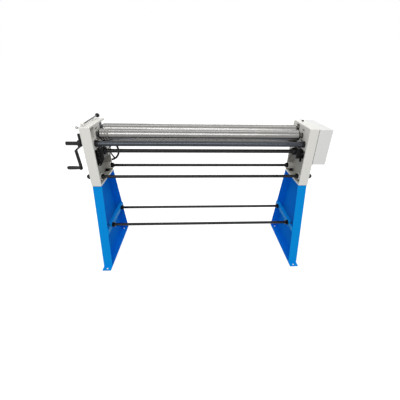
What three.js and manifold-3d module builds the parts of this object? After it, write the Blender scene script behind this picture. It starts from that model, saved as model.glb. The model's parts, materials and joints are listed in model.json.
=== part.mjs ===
// Slip roll machine: three rolls between two cast housings on sheet-metal legs.
// Millimetres, +Z up. Working frame: x = 0 in the middle of the rolls, y = 0 at the front face of the
// housings, z = 0 on the floor. The finished group stands with the bottom centre of its box at the origin.
import * as THREE from 'three';
import { mergeVertices } from 'three/addons/utils/BufferGeometryUtils.js';
import Module from 'manifold-3d';

const wasm = await Module();
wasm.setup();

// Clearances
const FIT = 0.3;
const SLIDE = 0.3;
const THREAD_CLEARANCE = 0.5;

// Overlap of solids that are joined, and reach of a cutter past the face it cuts
const LAP = 1;

// Housings
const HOUSING_GAP = 1340;
const HOUSING_WIDTH = 62;
const HOUSING_HEIGHT = 385;
const HOUSING_DEPTH = 298;
const HOUSING_TOP_DEPTH = 292;
const HOUSING_WEB = 14;
const HOUSING_RIM = 12;
const HOUSING_CORNER = 14;
const HOUSING_FRONT_CORNER = 6;

// Legs
const LEG_HEIGHT = 612;
const LEG_SHEET = 4;
const LEG_SETBACK = 10;
const LEG_SPLAY_FRONT = 117;
const LEG_SPLAY_REAR = 134;
const FOOT_REACH = 41;
const FOOT_THICKNESS = 6;
const FOOT_HOLE = 14;
const REAR_HOLE_INSET = 36;
const STRIP_THICKNESS = 5;
const STRIP_FLANGE = 24;
const STRIP_ABOVE_ROD = 16;
const STRIP_BELOW_ROD = 18;
const STRIP_SHELF_AHEAD = 22;
const LOWER_ROD_Z = 279;

// Tie rods
const ROD_DIAMETER = 20;
const NUT_WIDTH = 34;
const NUT_THICKNESS = 20;
const ROD_BOSS = 48;
const ROD_END = 9;
const UPPER_ROD_RISE = 52;
const FRONT_ROD_Y = 45;
const UPPER_REAR_ROD_INSET = 36;
const LOWER_REAR_ROD_OUTSET = 2;

// Rolls
const ROLL_DIAMETER = 70;
const ROLL_FACE = 1300;
const ROLL_COLLAR_DIAMETER = 60;
const ROLL_COLLAR_WIDTH = 9;
const JOURNAL_DIAMETER = 30;
const JOURNAL_END_GAP = 5;
const UPPER_ROLL_Y = 203;
const UPPER_ROLL_DROP = 54;
const BENDING_ROLL_Y = 108;
const BENDING_ROLL_DROP = 67;
const WIRE_GROOVES = [6, 9, 12];
const WIRE_GROOVE_PITCH = 17;
const WIRE_GROOVE_START = 16;

// Gears
const GEAR_MODULE = 4;
const PINCH_TEETH = 18;
const PINION_TEETH = 14;
const IDLER_TEETH = 20;
const LOWER_GEAR_TEETH = 26;
const PINCH_GEAR_WIDTH = 14;
const DRIVE_GEAR_WIDTH = 20;
const GEAR_GAP = 4;
const ADDENDUM = 0.8;
const DEDENDUM = 1.25;
const ROOT_HALF_SHARE = 0.26;
const TIP_HALF_SHARE = 0.1;

// Drive shaft and crank
const DRIVE_Y = 45;
const DRIVE_DROP = 109;
const DRIVE_DIAMETER = 32;
const DRIVE_JOURNAL_DIAMETER = 28;
const DRIVE_GEAR_SEAT_DIAMETER = 22;
const BEARING_WALL = 4;
const BEARING_FLANGE_DIAMETER = 43;
const BEARING_FLANGE_WIDTH = 8;
const STUB_DIAMETER = 24;
const STUB_CORE_DIAMETER = 20;
const STUB_REACH = 23;
const SLEEVE_LENGTH = 73;
const CRANK_HUB_DIAMETER = 42;
const CRANK_HUB_WIDTH = 19;
const CRANK_BAR_WIDTH = 24;
const CRANK_BAR_THICKNESS = 11;
const CRANK_RADIUS = 161;
const CRANK_END = 12;
const CRANK_ELBOW_OUT = 34;
const CRANK_ELBOW_DROP = 45;
const CRANK_FOOT_OUT = 27;
const CRANK_HORN = 60;
const CRANK_HORN_WIDTH = 12;
const CRANK_HORN_DEPTH = 14;
const CRANK_HORN_INSET = 5;
const CRANK_HUB_OVERLAP = 4;
const CRANK_FOOT_STRAIGHT = 18;
const SPINDLE_DIAMETER = 10;
const SPINDLE_HEAD_DIAMETER = 16;
const SPINDLE_HEAD_WIDTH = 3;
const GRIP_DIAMETER = 22;
const GRIP_LENGTH = 78;

// Gear cover
const COVER_WIDTH = 87;
const COVER_OVERHANG = 38;
const COVER_HEIGHT = 227;
const COVER_TOP_DROP = 5;
const COVER_WALL = 3;
const COVER_CORNER = 14;
const COVER_RETURN_LAP = 22;

// Idler stud
const STUD_DIAMETER = 20;
const STUD_HEAD_DIAMETER = 30;
const STUD_HEAD_WIDTH = 5;

// Sliding blocks
const BENDING_BLOCK_DEPTH = 44;
const BENDING_BLOCK_HEIGHT = 56;
const BENDING_RISE = 10;
const BENDING_TOP_ROOM = 3;
const LOWER_BLOCK_DEPTH = 48;
const LOWER_BLOCK_HEIGHT = 44;
const UPPER_BLOCK_DEPTH = 48;
const BLOCK_BELOW_UPPER = 26;
const BLOCK_SETBACK = 1;
const SWING_END_GAP = 0.7;
const SWING_CLEARANCE = 0.9;
const SWING_PIVOT_INSET = 5;
const BUSH_WALL = 7;
const LOWER_ABOVE = 3;
const LOWER_BELOW = 5;
const LOWER_TRAVEL = 1.4;
const LOWER_HOLE_CLEARANCE = 1.5;
const WINDOW_HEIGHT = 67;
const GUIDE_RIB = 10;
const PINCH_SCREW_DIAMETER = 16;
const PINCH_HEAD_WIDTH = 24;
const PINCH_HEAD_HEIGHT = 14;
const LOWER_CELL_DROP = 207;
const GEAR_CELL_DROP = 147;
const GEAR_CELL_BEHIND = 42;

// Bending roll lift
const SCREW_INSET = 26;
const SCREW_DIAMETER = 16;
const SCREW_TAIL = 48;
const SYNC_DROP = 175;
const SYNC_DIAMETER = 25;
const SYNC_SPIGOT_DIAMETER = 16;
const SPIGOT_INSET = 1;
const HANDWHEEL_DROP = 66;
const BEVEL_TEETH = 12;
const BEVEL_MODULE = 3.5;
const BEVEL_FACE = 10;
const BEVEL_HUB_DIAMETER = 34;
const BEVEL_HUB_WIDTH = 10;
const NUT_HUB_HEIGHT = 6;
const NUT_FLANGE_HEIGHT = 5;
const NUT_COLLAR_DIAMETER = 30;
const SHELF_THICKNESS = 12;
const BRACKET_FRONT = 40;
const BRACKET_REAR = 30;
const BRACKET_WALL = 8;
const BRACKET_REACH = 30;
const BRACKET_PLATE = 12;
const BRACKET_TOP = 28;
const GUARD_DROP = 90;
const SHORT_GUARD_REACH = 36;
const GUARD_CHAMFER_WIDTH = 30;
const GUARD_CHAMFER_HEIGHT = 44;

// Handwheel
const WHEEL_STANDOFF = 32;
const WHEEL_RADIUS = 73;
const WHEEL_RIM_RADIUS = 7;
const WHEEL_RIM_SIDES = 8;
const WHEEL_RIM_STEPS = 28;
const WHEEL_SPOKES = 3;
const WHEEL_SPOKE_DIAMETER = 12;
const WHEEL_SPOKE_SIDES = 8;
const WHEEL_HUB_DIAMETER = 42;
const WHEEL_HUB_WIDTH = 30;
const WHEEL_HUB_CAP = 5;
const WHEEL_SHAFT_DIAMETER = 20;
const WHEEL_BOSS_DIAMETER = 42;
const WHEEL_BOSS_LENGTH = 50;
const WHEEL_SHAFT_TIP = 16;
const WHEEL_HANDLE_DIAMETER = 22;
const WHEEL_HANDLE_LENGTH = 60;
const WHEEL_PIN_DIAMETER = 9;
const WHEEL_PIN_HEAD_DIAMETER = 14;
const WHEEL_PIN_HEAD_WIDTH = 3;
const WHEEL_HANDLE_ANGLE = Math.PI;

// Release lever
const LEVER_X = 714;
const LEVER_PIVOT_Y = 24;
const LEVER_PIVOT_RISE = 11;
const LEVER_ROD_DIAMETER = 8;
const LEVER_KNOB_Y = 296;
const LEVER_KNOB_RISE = 17;
const LEVER_KNOB_RADIUS = 13;
const LEVER_KNOB_SEAT = 3;
const LEVER_HUB_DIAMETER = 14;
const LEVER_HUB_WIDTH = 12;
const LEVER_PIN_DIAMETER = 12;
const LEVER_PIN_CLEARANCE = 1.5;
const LEVER_PIVOT_DIAMETER = 6;
const EAR_THICKNESS = 4;
const EAR_WIDTH = 14;
const EAR_BASE = 3;

// Ball oiler outside the left housing
const OILER_Y = 3;
const OILER_DROP = 3;
const OILER_BALL_RADIUS = 7;
const OILER_STEM_DIAMETER = 6;
const OILER_REACH = 12;

// Round solids
const SIDES = 24;
const SMALL_SIDES = 16;
const BALL_SIDES = 14;

// Places worked out from the sizes above
const INNER_X = HOUSING_GAP / 2;
const OUTER_X = INNER_X + HOUSING_WIDTH;
const WEB_X = OUTER_X - HOUSING_WEB;
const HOUSING_TOP_Z = LEG_HEIGHT + HOUSING_HEIGHT;
const HOUSING_REAR_Y = Math.max(HOUSING_DEPTH, HOUSING_TOP_DEPTH);
const UPPER_ROD_Z = LEG_HEIGHT + UPPER_ROD_RISE;
const UPPER_REAR_ROD_Y = HOUSING_DEPTH - UPPER_REAR_ROD_INSET;
const LOWER_REAR_ROD_Y = HOUSING_DEPTH + LOWER_REAR_ROD_OUTSET;
const UPPER_ROLL_Z = HOUSING_TOP_Z - UPPER_ROLL_DROP;
const BENDING_ROLL_Z = HOUSING_TOP_Z - BENDING_ROLL_DROP;
const DRIVE_Z = HOUSING_TOP_Z - DRIVE_DROP;
const LOWER_CELL_TOP_Z = HOUSING_TOP_Z - LOWER_CELL_DROP;
const GEAR_CELL_TOP_Z = HOUSING_TOP_Z - GEAR_CELL_DROP;
const GEAR_CELL_REAR_Y = BENDING_ROLL_Y + GEAR_CELL_BEHIND;
const WINDOW_BOTTOM_Z = HOUSING_TOP_Z - HOUSING_RIM - WINDOW_HEIGHT;
const SYNC_Z = HOUSING_TOP_Z - SYNC_DROP;
const HANDWHEEL_Z = SYNC_Z - HANDWHEEL_DROP;
const GUARD_BOTTOM_Z = SYNC_Z - GUARD_DROP;
const WHEEL_Y = HOUSING_REAR_Y + WHEEL_STANDOFF;
const COVER_DEPTH = HOUSING_TOP_DEPTH + COVER_OVERHANG;
const COVER_TOP_Z = HOUSING_TOP_Z - COVER_TOP_DROP;
const COVER_BOTTOM_Z = COVER_TOP_Z - COVER_HEIGHT;
const PINCH_RADIUS = PINCH_TEETH * GEAR_MODULE / 2;
const LOWER_ROLL_Y = UPPER_ROLL_Y;
const LOWER_ROLL_Z = UPPER_ROLL_Z - 2 * PINCH_RADIUS;
const FOOT_FRONT_Y = LEG_SETBACK - LEG_SPLAY_FRONT - FOOT_REACH;
const FOOT_REAR_Y = HOUSING_DEPTH + LEG_SPLAY_REAR;
const PINCH_GEAR_X = OUTER_X + GEAR_GAP;
const DRIVE_GEAR_X = PINCH_GEAR_X + PINCH_GEAR_WIDTH + GEAR_GAP;
const COVER_X = OUTER_X + COVER_WIDTH;
const SCREW_X = WEB_X - SCREW_INSET;
const BEVEL_RADIUS = BEVEL_TEETH * BEVEL_MODULE / 2;
const BEVEL_PITCH = 2 * Math.PI / BEVEL_TEETH;
const SHELF_TOP_Z = SYNC_Z - BEVEL_RADIUS - NUT_HUB_HEIGHT;
const SHELF_BOTTOM_Z = SHELF_TOP_Z - SHELF_THICKNESS;
const HUB_X = OUTER_X + STUB_REACH;
const CRANK_X = HUB_X + CRANK_HUB_WIDTH / 2;
const SLEEVE_X = HUB_X + CRANK_HUB_WIDTH + FIT;
const GRIP_X = CRANK_X + CRANK_FOOT_OUT + CRANK_BAR_THICKNESS / 2 + FIT;
const CRANK_Z = DRIVE_Z - CRANK_RADIUS;
const GRIP_END_X = GRIP_X + GRIP_LENGTH + FIT + SPINDLE_HEAD_WIDTH;
const UPPER_SLOT_BOTTOM_Z = UPPER_ROLL_Z - BLOCK_BELOW_UPPER - SLIDE;
const UPPER_SLOT_TOP_Z = HOUSING_TOP_Z - HOUSING_RIM;
const SWING_X = OUTER_X - SWING_PIVOT_INSET;
const STRIP_X = INNER_X - FIT;

// Rear face of the housing at a given height
function rearY(z) {
  return HOUSING_DEPTH + (HOUSING_TOP_DEPTH - HOUSING_DEPTH) * (z - LEG_HEIGHT) / HOUSING_HEIGHT;
}

// A closed three.js geometry as a manifold solid
function solidOf(geometry) {
  const bare = geometry.index ? geometry.toNonIndexed() : geometry.clone();
  bare.deleteAttribute('normal');
  bare.deleteAttribute('uv');
  const merged = mergeVertices(bare, 1e-4);
  const mesh = new wasm.Mesh({
    numProp: 3,
    vertProperties: new Float32Array(merged.attributes.position.array),
    triVerts: new Uint32Array(merged.index.array),
  });
  return new wasm.Manifold(mesh);
}

// A manifold solid as a three.js geometry
function geometryOf(solid) {
  const mesh = solid.getMesh();
  const geometry = new THREE.BufferGeometry();
  geometry.setAttribute('position', new THREE.BufferAttribute(new Float32Array(mesh.vertProperties), 3));
  geometry.setIndex(new THREE.BufferAttribute(new Uint32Array(mesh.triVerts), 1));
  const flat = geometry.toNonIndexed();
  flat.computeVertexNormals();
  return flat;
}

function joined(...solids) {
  return solids.reduce((sum, next) => sum.add(next));
}

// Box between two corners
function box(x0, x1, y0, y1, z0, z1) {
  const geometry = new THREE.BoxGeometry(x1 - x0, y1 - y0, z1 - z0);
  geometry.translate((x0 + x1) / 2, (y0 + y1) / 2, (z0 + z1) / 2);
  return solidOf(geometry);
}

// Round bars along each axis, given their ends and the other two coordinates
function rodX(diameter, x0, x1, y, z, sides = SIDES) {
  const geometry = new THREE.CylinderGeometry(diameter / 2, diameter / 2, x1 - x0, sides);
  geometry.rotateZ(-Math.PI / 2);
  geometry.translate((x0 + x1) / 2, y, z);
  return solidOf(geometry);
}

function rodY(diameter, y0, y1, x, z, sides = SIDES) {
  const geometry = new THREE.CylinderGeometry(diameter / 2, diameter / 2, y1 - y0, sides);
  geometry.translate(x, (y0 + y1) / 2, z);
  return solidOf(geometry);
}

function rodZ(diameter, z0, z1, x, y, sides = SIDES) {
  const geometry = new THREE.CylinderGeometry(diameter / 2, diameter / 2, z1 - z0, sides);
  geometry.rotateX(Math.PI / 2);
  geometry.translate(x, y, (z0 + z1) / 2);
  return solidOf(geometry);
}

// Round bar between two points
function rodBetween(diameter, start, end, sides = SMALL_SIDES) {
  const span = new THREE.Vector3().subVectors(end, start);
  const geometry = new THREE.CylinderGeometry(diameter / 2, diameter / 2, span.length(), sides);
  const turn = new THREE.Quaternion().setFromUnitVectors(new THREE.Vector3(0, 1, 0), span.normalize());
  geometry.applyQuaternion(turn);
  geometry.translate((start.x + end.x) / 2, (start.y + end.y) / 2, (start.z + end.z) / 2);
  return solidOf(geometry);
}

function ball(radius, x, y, z) {
  const geometry = new THREE.SphereGeometry(radius, BALL_SIDES, BALL_SIDES / 2);
  geometry.translate(x, y, z);
  return solidOf(geometry);
}

function outline(points) {
  return new THREE.Shape(points.map(([a, b]) => new THREE.Vector2(a, b)));
}

// Outline in the YZ plane, extruded along X
function prismX(shape, x0, x1, curveSegments = 6) {
  const geometry = new THREE.ExtrudeGeometry(shape, { depth: x1 - x0, bevelEnabled: false, curveSegments });
  const place = new THREE.Matrix4().makeBasis(
    new THREE.Vector3(0, 1, 0), new THREE.Vector3(0, 0, 1), new THREE.Vector3(1, 0, 0));
  geometry.applyMatrix4(place);
  geometry.translate(x0, 0, 0);
  return solidOf(geometry);
}

// Outline in the XZ plane, extruded along Y
function prismY(points, y0, y1) {
  const shape = outline(points.map(([x, z]) => [z, x]));
  const geometry = new THREE.ExtrudeGeometry(shape, { depth: y1 - y0, bevelEnabled: false });
  const place = new THREE.Matrix4().makeBasis(
    new THREE.Vector3(0, 0, 1), new THREE.Vector3(1, 0, 0), new THREE.Vector3(0, 1, 0));
  geometry.applyMatrix4(place);
  geometry.translate(0, y0, 0);
  return solidOf(geometry);
}

// Outline of a flat bar of one thickness that follows a bent centre line
function ribbon(path, thickness) {
  const left = [];
  const right = [];
  path.forEach(([a, b], i) => {
    const [pa, pb] = path[Math.max(i - 1, 0)];
    const [na, nb] = path[Math.min(i + 1, path.length - 1)];
    const length = Math.hypot(na - pa, nb - pb);
    const across = [-(nb - pb) / length * thickness / 2, (na - pa) / length * thickness / 2];
    left.push([a + across[0], b + across[1]]);
    right.unshift([a - across[0], b - across[1]]);
  });
  return [...left, ...right];
}

// Outline of a gear, with a tooth centred on the phase angle
function gearPoints(teeth, module, phase) {
  const radius = teeth * module / 2;
  const tip = radius + ADDENDUM * module;
  const root = radius - DEDENDUM * module;
  const pitch = 2 * Math.PI / teeth;
  const atRoot = pitch * ROOT_HALF_SHARE;
  const atTip = pitch * TIP_HALF_SHARE;
  const points = [];
  for (let tooth = 0; tooth < teeth; tooth += 1) {
    const centre = phase + tooth * pitch;
    points.push([root * Math.cos(centre - atRoot), root * Math.sin(centre - atRoot)]);
    points.push([tip * Math.cos(centre - atTip), tip * Math.sin(centre - atTip)]);
    points.push([tip * Math.cos(centre + atTip), tip * Math.sin(centre + atTip)]);
    points.push([root * Math.cos(centre + atRoot), root * Math.sin(centre + atRoot)]);
  }
  return points;
}

// Spur gear with its axis along X
function spurGear(teeth, width, bore, x0, y, z, phase) {
  const disc = prismX(outline(gearPoints(teeth, GEAR_MODULE, phase)), x0, x0 + width);
  return disc.subtract(rodX(bore + 2 * FIT, x0 - LAP, x0 + width + LAP, 0, 0)).translate([0, y, z]);
}

// Bevel gear toothed ring that narrows towards an apex at the origin, axis along Z, back face at z = -radius
function bevelRing(phase) {
  const shape = outline(gearPoints(BEVEL_TEETH, BEVEL_MODULE, phase));
  const geometry = new THREE.ExtrudeGeometry(shape, { depth: BEVEL_FACE, bevelEnabled: false });
  const position = geometry.attributes.position;
  const narrow = (BEVEL_RADIUS - BEVEL_FACE) / BEVEL_RADIUS;
  for (let i = 0; i < position.count; i += 1) {
    if (position.getZ(i) > BEVEL_FACE / 2) {
      position.setXY(i, position.getX(i) * narrow, position.getY(i) * narrow);
    }
  }
  geometry.translate(0, 0, -BEVEL_RADIUS);
  return solidOf(geometry);
}

// Hexagonal nut with its axis along X
function nutX(x0, x1, y, z) {
  const body = rodX(NUT_WIDTH / Math.cos(Math.PI / 6), x0, x1, y, z, 6);
  return body.subtract(rodX(ROD_DIAMETER + 2 * FIT, x0 - LAP, x1 + LAP, y, z, SMALL_SIDES));
}

// Roll with end collars and journals, its axis along X, turned as one lathe profile
function rollSolid(y, z, leftEnd, rightEnd, grooves) {
  const half = ROLL_FACE / 2;
  const face = ROLL_DIAMETER / 2;
  const collar = ROLL_COLLAR_DIAMETER / 2;
  const journal = JOURNAL_DIAMETER / 2;
  const profile = [[0, leftEnd], [journal, leftEnd], [journal, -half - ROLL_COLLAR_WIDTH]];
  profile.push([collar, -half - ROLL_COLLAR_WIDTH], [collar, -half], [face, -half]);
  grooves.forEach((width, i) => {
    const centre = -half + WIRE_GROOVE_START + i * WIRE_GROOVE_PITCH;
    profile.push([face, centre - width / 2], [face - width / 2, centre], [face, centre + width / 2]);
  });
  profile.push([face, half], [collar, half], [collar, half + ROLL_COLLAR_WIDTH]);
  profile.push([journal, half + ROLL_COLLAR_WIDTH], [journal, rightEnd], [0, rightEnd]);
  const geometry = new THREE.LatheGeometry(profile.map(([r, h]) => new THREE.Vector2(r, h)), SIDES);
  geometry.rotateZ(-Math.PI / 2);
  geometry.translate(0, y, z);
  return solidOf(geometry);
}

// The same solid on the other side of the machine
function mirrored(solid, side) {
  return side < 0 ? solid.mirror([1, 0, 0]) : solid;
}

// Legs, modelled on the right and mirrored for the left

// Front and rear edges of the leg at a given height
function legFrontY(z) {
  return LEG_SETBACK - LEG_SPLAY_FRONT * (LEG_HEIGHT - z) / LEG_HEIGHT;
}

function legRearY(z) {
  return HOUSING_DEPTH + LEG_SPLAY_REAR * (LEG_HEIGHT - z) / LEG_HEIGHT;
}

function legSolid() {
  const top = LEG_HEIGHT - FIT;
  const low = FOOT_THICKNESS / 2;
  const web = outline([
    [legFrontY(low), low], [legRearY(low), low],
    [legRearY(top), top], [legFrontY(top), top]]);
  const front = outline([
    [legFrontY(low), low], [legFrontY(low) + LEG_SHEET, low],
    [legFrontY(top) + LEG_SHEET, top], [legFrontY(top), top]]);
  const rear = outline([
    [legRearY(low) - LEG_SHEET, low], [legRearY(low), low],
    [legRearY(top), top], [legRearY(top) - LEG_SHEET, top]]);
  const middle = (INNER_X + OUTER_X) / 2;
  const hole = (y) => rodZ(FOOT_HOLE, -LAP, FOOT_THICKNESS + LAP, middle, y, SMALL_SIDES);
  return joined(
    prismX(web, OUTER_X - LEG_SHEET, OUTER_X),
    prismX(front, INNER_X, OUTER_X),
    prismX(rear, INNER_X, OUTER_X),
    box(INNER_X, OUTER_X, legFrontY(top), legRearY(top), top - LEG_SHEET, top),
    box(INNER_X, OUTER_X, FOOT_FRONT_Y, FOOT_REAR_Y, 0, FOOT_THICKNESS))
    .subtract(hole(FOOT_FRONT_Y + FOOT_REACH / 2))
    .subtract(hole(FOOT_REAR_Y - REAR_HOLE_INSET));
}

// Angle bar over the inner edges of the leg's flanges, its shelf cut short of them
function stripSolid() {
  const low = LOWER_ROD_Z - STRIP_BELOW_ROD;
  const high = LOWER_ROD_Z + STRIP_ABOVE_ROD;
  const face = prismX(outline([
    [legFrontY(low), low], [legRearY(low), low],
    [legRearY(high), high], [legFrontY(high), high]]), STRIP_X - STRIP_THICKNESS, STRIP_X);
  const rear = legRearY(high) - LEG_SHEET - FIT;
  const shelf = box(STRIP_X - STRIP_THICKNESS, STRIP_X - STRIP_THICKNESS + STRIP_FLANGE,
    FRONT_ROD_Y - STRIP_SHELF_AHEAD, rear, high - STRIP_THICKNESS, high);
  const hole = (y) => rodX(ROD_DIAMETER + 2 * FIT, STRIP_X - STRIP_THICKNESS - LAP, STRIP_X + LAP,
    y, LOWER_ROD_Z, SMALL_SIDES);
  return face.add(shelf).subtract(hole(FRONT_ROD_Y)).subtract(hole(LOWER_REAR_ROD_Y));
}

// Housings, modelled on the right and mirrored for the left

function housingOutline() {
  const shape = new THREE.Shape();
  const cornerZ = HOUSING_TOP_Z - HOUSING_CORNER;
  shape.moveTo(0, LEG_HEIGHT);
  shape.lineTo(HOUSING_DEPTH, LEG_HEIGHT);
  shape.lineTo(rearY(cornerZ), cornerZ);
  shape.quadraticCurveTo(HOUSING_TOP_DEPTH, HOUSING_TOP_Z, HOUSING_TOP_DEPTH - HOUSING_CORNER, HOUSING_TOP_Z);
  shape.lineTo(HOUSING_FRONT_CORNER, HOUSING_TOP_Z);
  shape.quadraticCurveTo(0, HOUSING_TOP_Z, 0, HOUSING_TOP_Z - HOUSING_FRONT_CORNER);
  return shape;
}

// Large lower pocket, the gear space above it, and the slot that guides the bending block
function mainPocket() {
  const low = LEG_HEIGHT + HOUSING_RIM;
  const slot = BENDING_BLOCK_DEPTH / 2 + SLIDE;
  const slotTop = BENDING_ROLL_Z + BENDING_BLOCK_HEIGHT / 2 + BENDING_RISE + BENDING_TOP_ROOM;
  return prismX(outline([
    [HOUSING_RIM, low], [rearY(low) - HOUSING_RIM, low],
    [rearY(LOWER_CELL_TOP_Z) - HOUSING_RIM, LOWER_CELL_TOP_Z], [GEAR_CELL_REAR_Y, LOWER_CELL_TOP_Z],
    [GEAR_CELL_REAR_Y, GEAR_CELL_TOP_Z], [BENDING_ROLL_Y + slot, GEAR_CELL_TOP_Z],
    [BENDING_ROLL_Y + slot, slotTop], [BENDING_ROLL_Y - slot, slotTop],
    [BENDING_ROLL_Y - slot, GEAR_CELL_TOP_Z], [HOUSING_RIM, GEAR_CELL_TOP_Z],
  ]), INNER_X - LAP, WEB_X);
}

function windowPocket() {
  const rear = BENDING_ROLL_Y - BENDING_BLOCK_DEPTH / 2 - SLIDE - GUIDE_RIB;
  return box(INNER_X - LAP, WEB_X, HOUSING_RIM, rear, WINDOW_BOTTOM_Z, HOUSING_TOP_Z - HOUSING_RIM);
}

function lowerBlockPocket() {
  const half = LOWER_BLOCK_DEPTH / 2 + SLIDE;
  const low = LOWER_ROLL_Z - LOWER_BLOCK_HEIGHT / 2 - LOWER_BELOW;
  const high = LOWER_ROLL_Z + LOWER_BLOCK_HEIGHT / 2 + LOWER_ABOVE;
  return box(INNER_X - LAP, WEB_X, LOWER_ROLL_Y - half, LOWER_ROLL_Y + half, low, high);
}

function pinchScrewHole() {
  const hole = PINCH_SCREW_DIAMETER + 2 * THREAD_CLEARANCE;
  return rodZ(hole, LOWER_CELL_TOP_Z - LAP, LOWER_ROLL_Z, SCREW_X, LOWER_ROLL_Y, SMALL_SIDES);
}

function driveBearingHole() {
  const hole = DRIVE_JOURNAL_DIAMETER + 2 * FIT + 2 * BEARING_WALL + 2 * FIT;
  return rodX(hole, INNER_X - LAP, OUTER_X + LAP, DRIVE_Y, DRIVE_Z);
}

function rodBoss(y) {
  return rodX(ROD_BOSS, INNER_X, WEB_X + LAP, y, UPPER_ROD_Z);
}

function rodHole(y) {
  return rodX(ROD_DIAMETER + 2 * FIT, INNER_X - LAP, OUTER_X + LAP, y, UPPER_ROD_Z, SMALL_SIDES);
}

// What both housings share
function housingBlank() {
  return prismX(housingOutline(), INNER_X, OUTER_X)
    .subtract(mainPocket())
    .subtract(lowerBlockPocket())
    .subtract(pinchScrewHole())
    .add(rodBoss(FRONT_ROD_Y))
    .add(rodBoss(UPPER_REAR_ROD_Y))
    .subtract(rodHole(FRONT_ROD_Y))
    .subtract(rodHole(UPPER_REAR_ROD_Y))
    .subtract(driveBearingHole());
}

// Left housing: window, slot for the upper block open to the rear, lever pin hole, handwheel shaft boss
function leftHousingSolid() {
  const half = UPPER_BLOCK_DEPTH / 2 + SLIDE;
  const slot = box(INNER_X - LAP, WEB_X, UPPER_ROLL_Y - half, HOUSING_REAR_Y + LAP,
    UPPER_SLOT_BOTTOM_Z, UPPER_SLOT_TOP_Z);
  const pinHoleDiameter = LEVER_PIN_DIAMETER + 2 * LEVER_PIN_CLEARANCE;
  const pinHole = rodZ(pinHoleDiameter, UPPER_SLOT_TOP_Z - LAP, HOUSING_TOP_Z + LAP,
    LEVER_X, UPPER_ROLL_Y, SMALL_SIDES);
  const rear = rearY(HANDWHEEL_Z);
  const boss = rodY(WHEEL_BOSS_DIAMETER, rear - WHEEL_BOSS_LENGTH, rear - LAP, SCREW_X, HANDWHEEL_Z);
  const shaftHole = rodY(WHEEL_SHAFT_DIAMETER + 2 * FIT, rear - WHEEL_BOSS_LENGTH - LAP, HOUSING_REAR_Y + LAP,
    SCREW_X, HANDWHEEL_Z, SMALL_SIDES);
  const right = housingBlank().subtract(windowPocket()).subtract(slot).subtract(pinHole)
    .add(boss).subtract(shaftHole);
  return mirrored(right, -1);
}

// Right housing: seat for the upper bush, and holes for the gear shafts in the web
function rightHousingSolid() {
  const half = UPPER_BLOCK_DEPTH / 2 + SLIDE;
  const pocket = box(INNER_X - LAP, WEB_X, UPPER_ROLL_Y - half, UPPER_ROLL_Y + half,
    UPPER_SLOT_BOTTOM_Z, UPPER_SLOT_TOP_Z);
  const bushSeat = JOURNAL_DIAMETER + 2 * FIT + 2 * BUSH_WALL + 2 * SWING_CLEARANCE;
  const lowerHole = JOURNAL_DIAMETER + 2 * (LOWER_TRAVEL + LOWER_HOLE_CLEARANCE);
  const idler = idlerPlace();
  return housingBlank()
    .subtract(pocket)
    .subtract(rodX(bushSeat, WEB_X - LAP, OUTER_X + LAP, UPPER_ROLL_Y, UPPER_ROLL_Z))
    .subtract(rodX(lowerHole, WEB_X - LAP, OUTER_X + LAP, LOWER_ROLL_Y, LOWER_ROLL_Z))
    .subtract(rodX(STUD_DIAMETER + 2 * FIT, WEB_X - LAP, OUTER_X + LAP, idler.y, idler.z, SMALL_SIDES));
}

// Idler gear place: in mesh with the drive pinion and the lower roll's gear, a little below their line
function idlerPlace() {
  const toDrive = (PINION_TEETH + IDLER_TEETH) * GEAR_MODULE / 2;
  const toLower = (IDLER_TEETH + LOWER_GEAR_TEETH) * GEAR_MODULE / 2;
  const dy = LOWER_ROLL_Y - DRIVE_Y;
  const dz = LOWER_ROLL_Z - DRIVE_Z;
  const span = Math.hypot(dy, dz);
  const along = (toDrive ** 2 - toLower ** 2 + span ** 2) / (2 * span);
  const drop = Math.sqrt(Math.max(toDrive ** 2 - along ** 2, 0));
  return {
    y: DRIVE_Y + (along * dy + drop * dz) / span,
    z: DRIVE_Z + (along * dz - drop * dy) / span,
  };
}

// Phase of a gear that meshes with another one whose tooth points along the line between them
function meshedPhase(teeth, fromY, fromZ, toY, toZ) {
  return Math.atan2(fromZ - toZ, fromY - toY) + Math.PI / teeth;
}

// Phase of the gear that turns another: a tooth straight at its neighbour
function pointingPhase(fromY, fromZ, toY, toZ) {
  return Math.atan2(toZ - fromZ, toY - fromY);
}

// Gear cover, open towards the housing, with a return where it reaches past the housing's rear face
function coverSolid() {
  const top = COVER_TOP_Z;
  const shell = (wall) => {
    const corner = COVER_CORNER - wall;
    const shape = new THREE.Shape();
    shape.moveTo(wall, COVER_BOTTOM_Z + wall);
    shape.lineTo(COVER_DEPTH - wall, COVER_BOTTOM_Z + wall);
    shape.lineTo(COVER_DEPTH - wall, top - wall - corner);
    shape.quadraticCurveTo(COVER_DEPTH - wall, top - wall, COVER_DEPTH - wall - corner, top - wall);
    shape.lineTo(wall, top - wall);
    return shape;
  };
  const outer = prismX(shell(0), OUTER_X + FIT, COVER_X);
  const hollow = prismX(shell(COVER_WALL), OUTER_X - LAP, COVER_X - COVER_WALL);
  const returnX = OUTER_X + FIT + COVER_WALL;
  const rearReturn = box(OUTER_X, returnX, HOUSING_TOP_DEPTH - COVER_RETURN_LAP, COVER_DEPTH + LAP,
    COVER_BOTTOM_Z - LAP, top + LAP);
  return outer.subtract(hollow).add(outer.intersect(rearReturn));
}

// Flanged bearing of the drive shaft, on the right and mirrored for the left
function driveBearingSolid() {
  const bore = DRIVE_JOURNAL_DIAMETER + 2 * FIT;
  const tube = rodX(bore + 2 * BEARING_WALL, INNER_X - FIT - LAP, OUTER_X, DRIVE_Y, DRIVE_Z);
  const inner = INNER_X - FIT - BEARING_FLANGE_WIDTH;
  const flange = rodX(BEARING_FLANGE_DIAMETER, inner, INNER_X - FIT, DRIVE_Y, DRIVE_Z);
  return tube.add(flange).subtract(rodX(bore, inner - LAP, OUTER_X + LAP, DRIVE_Y, DRIVE_Z));
}

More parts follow.
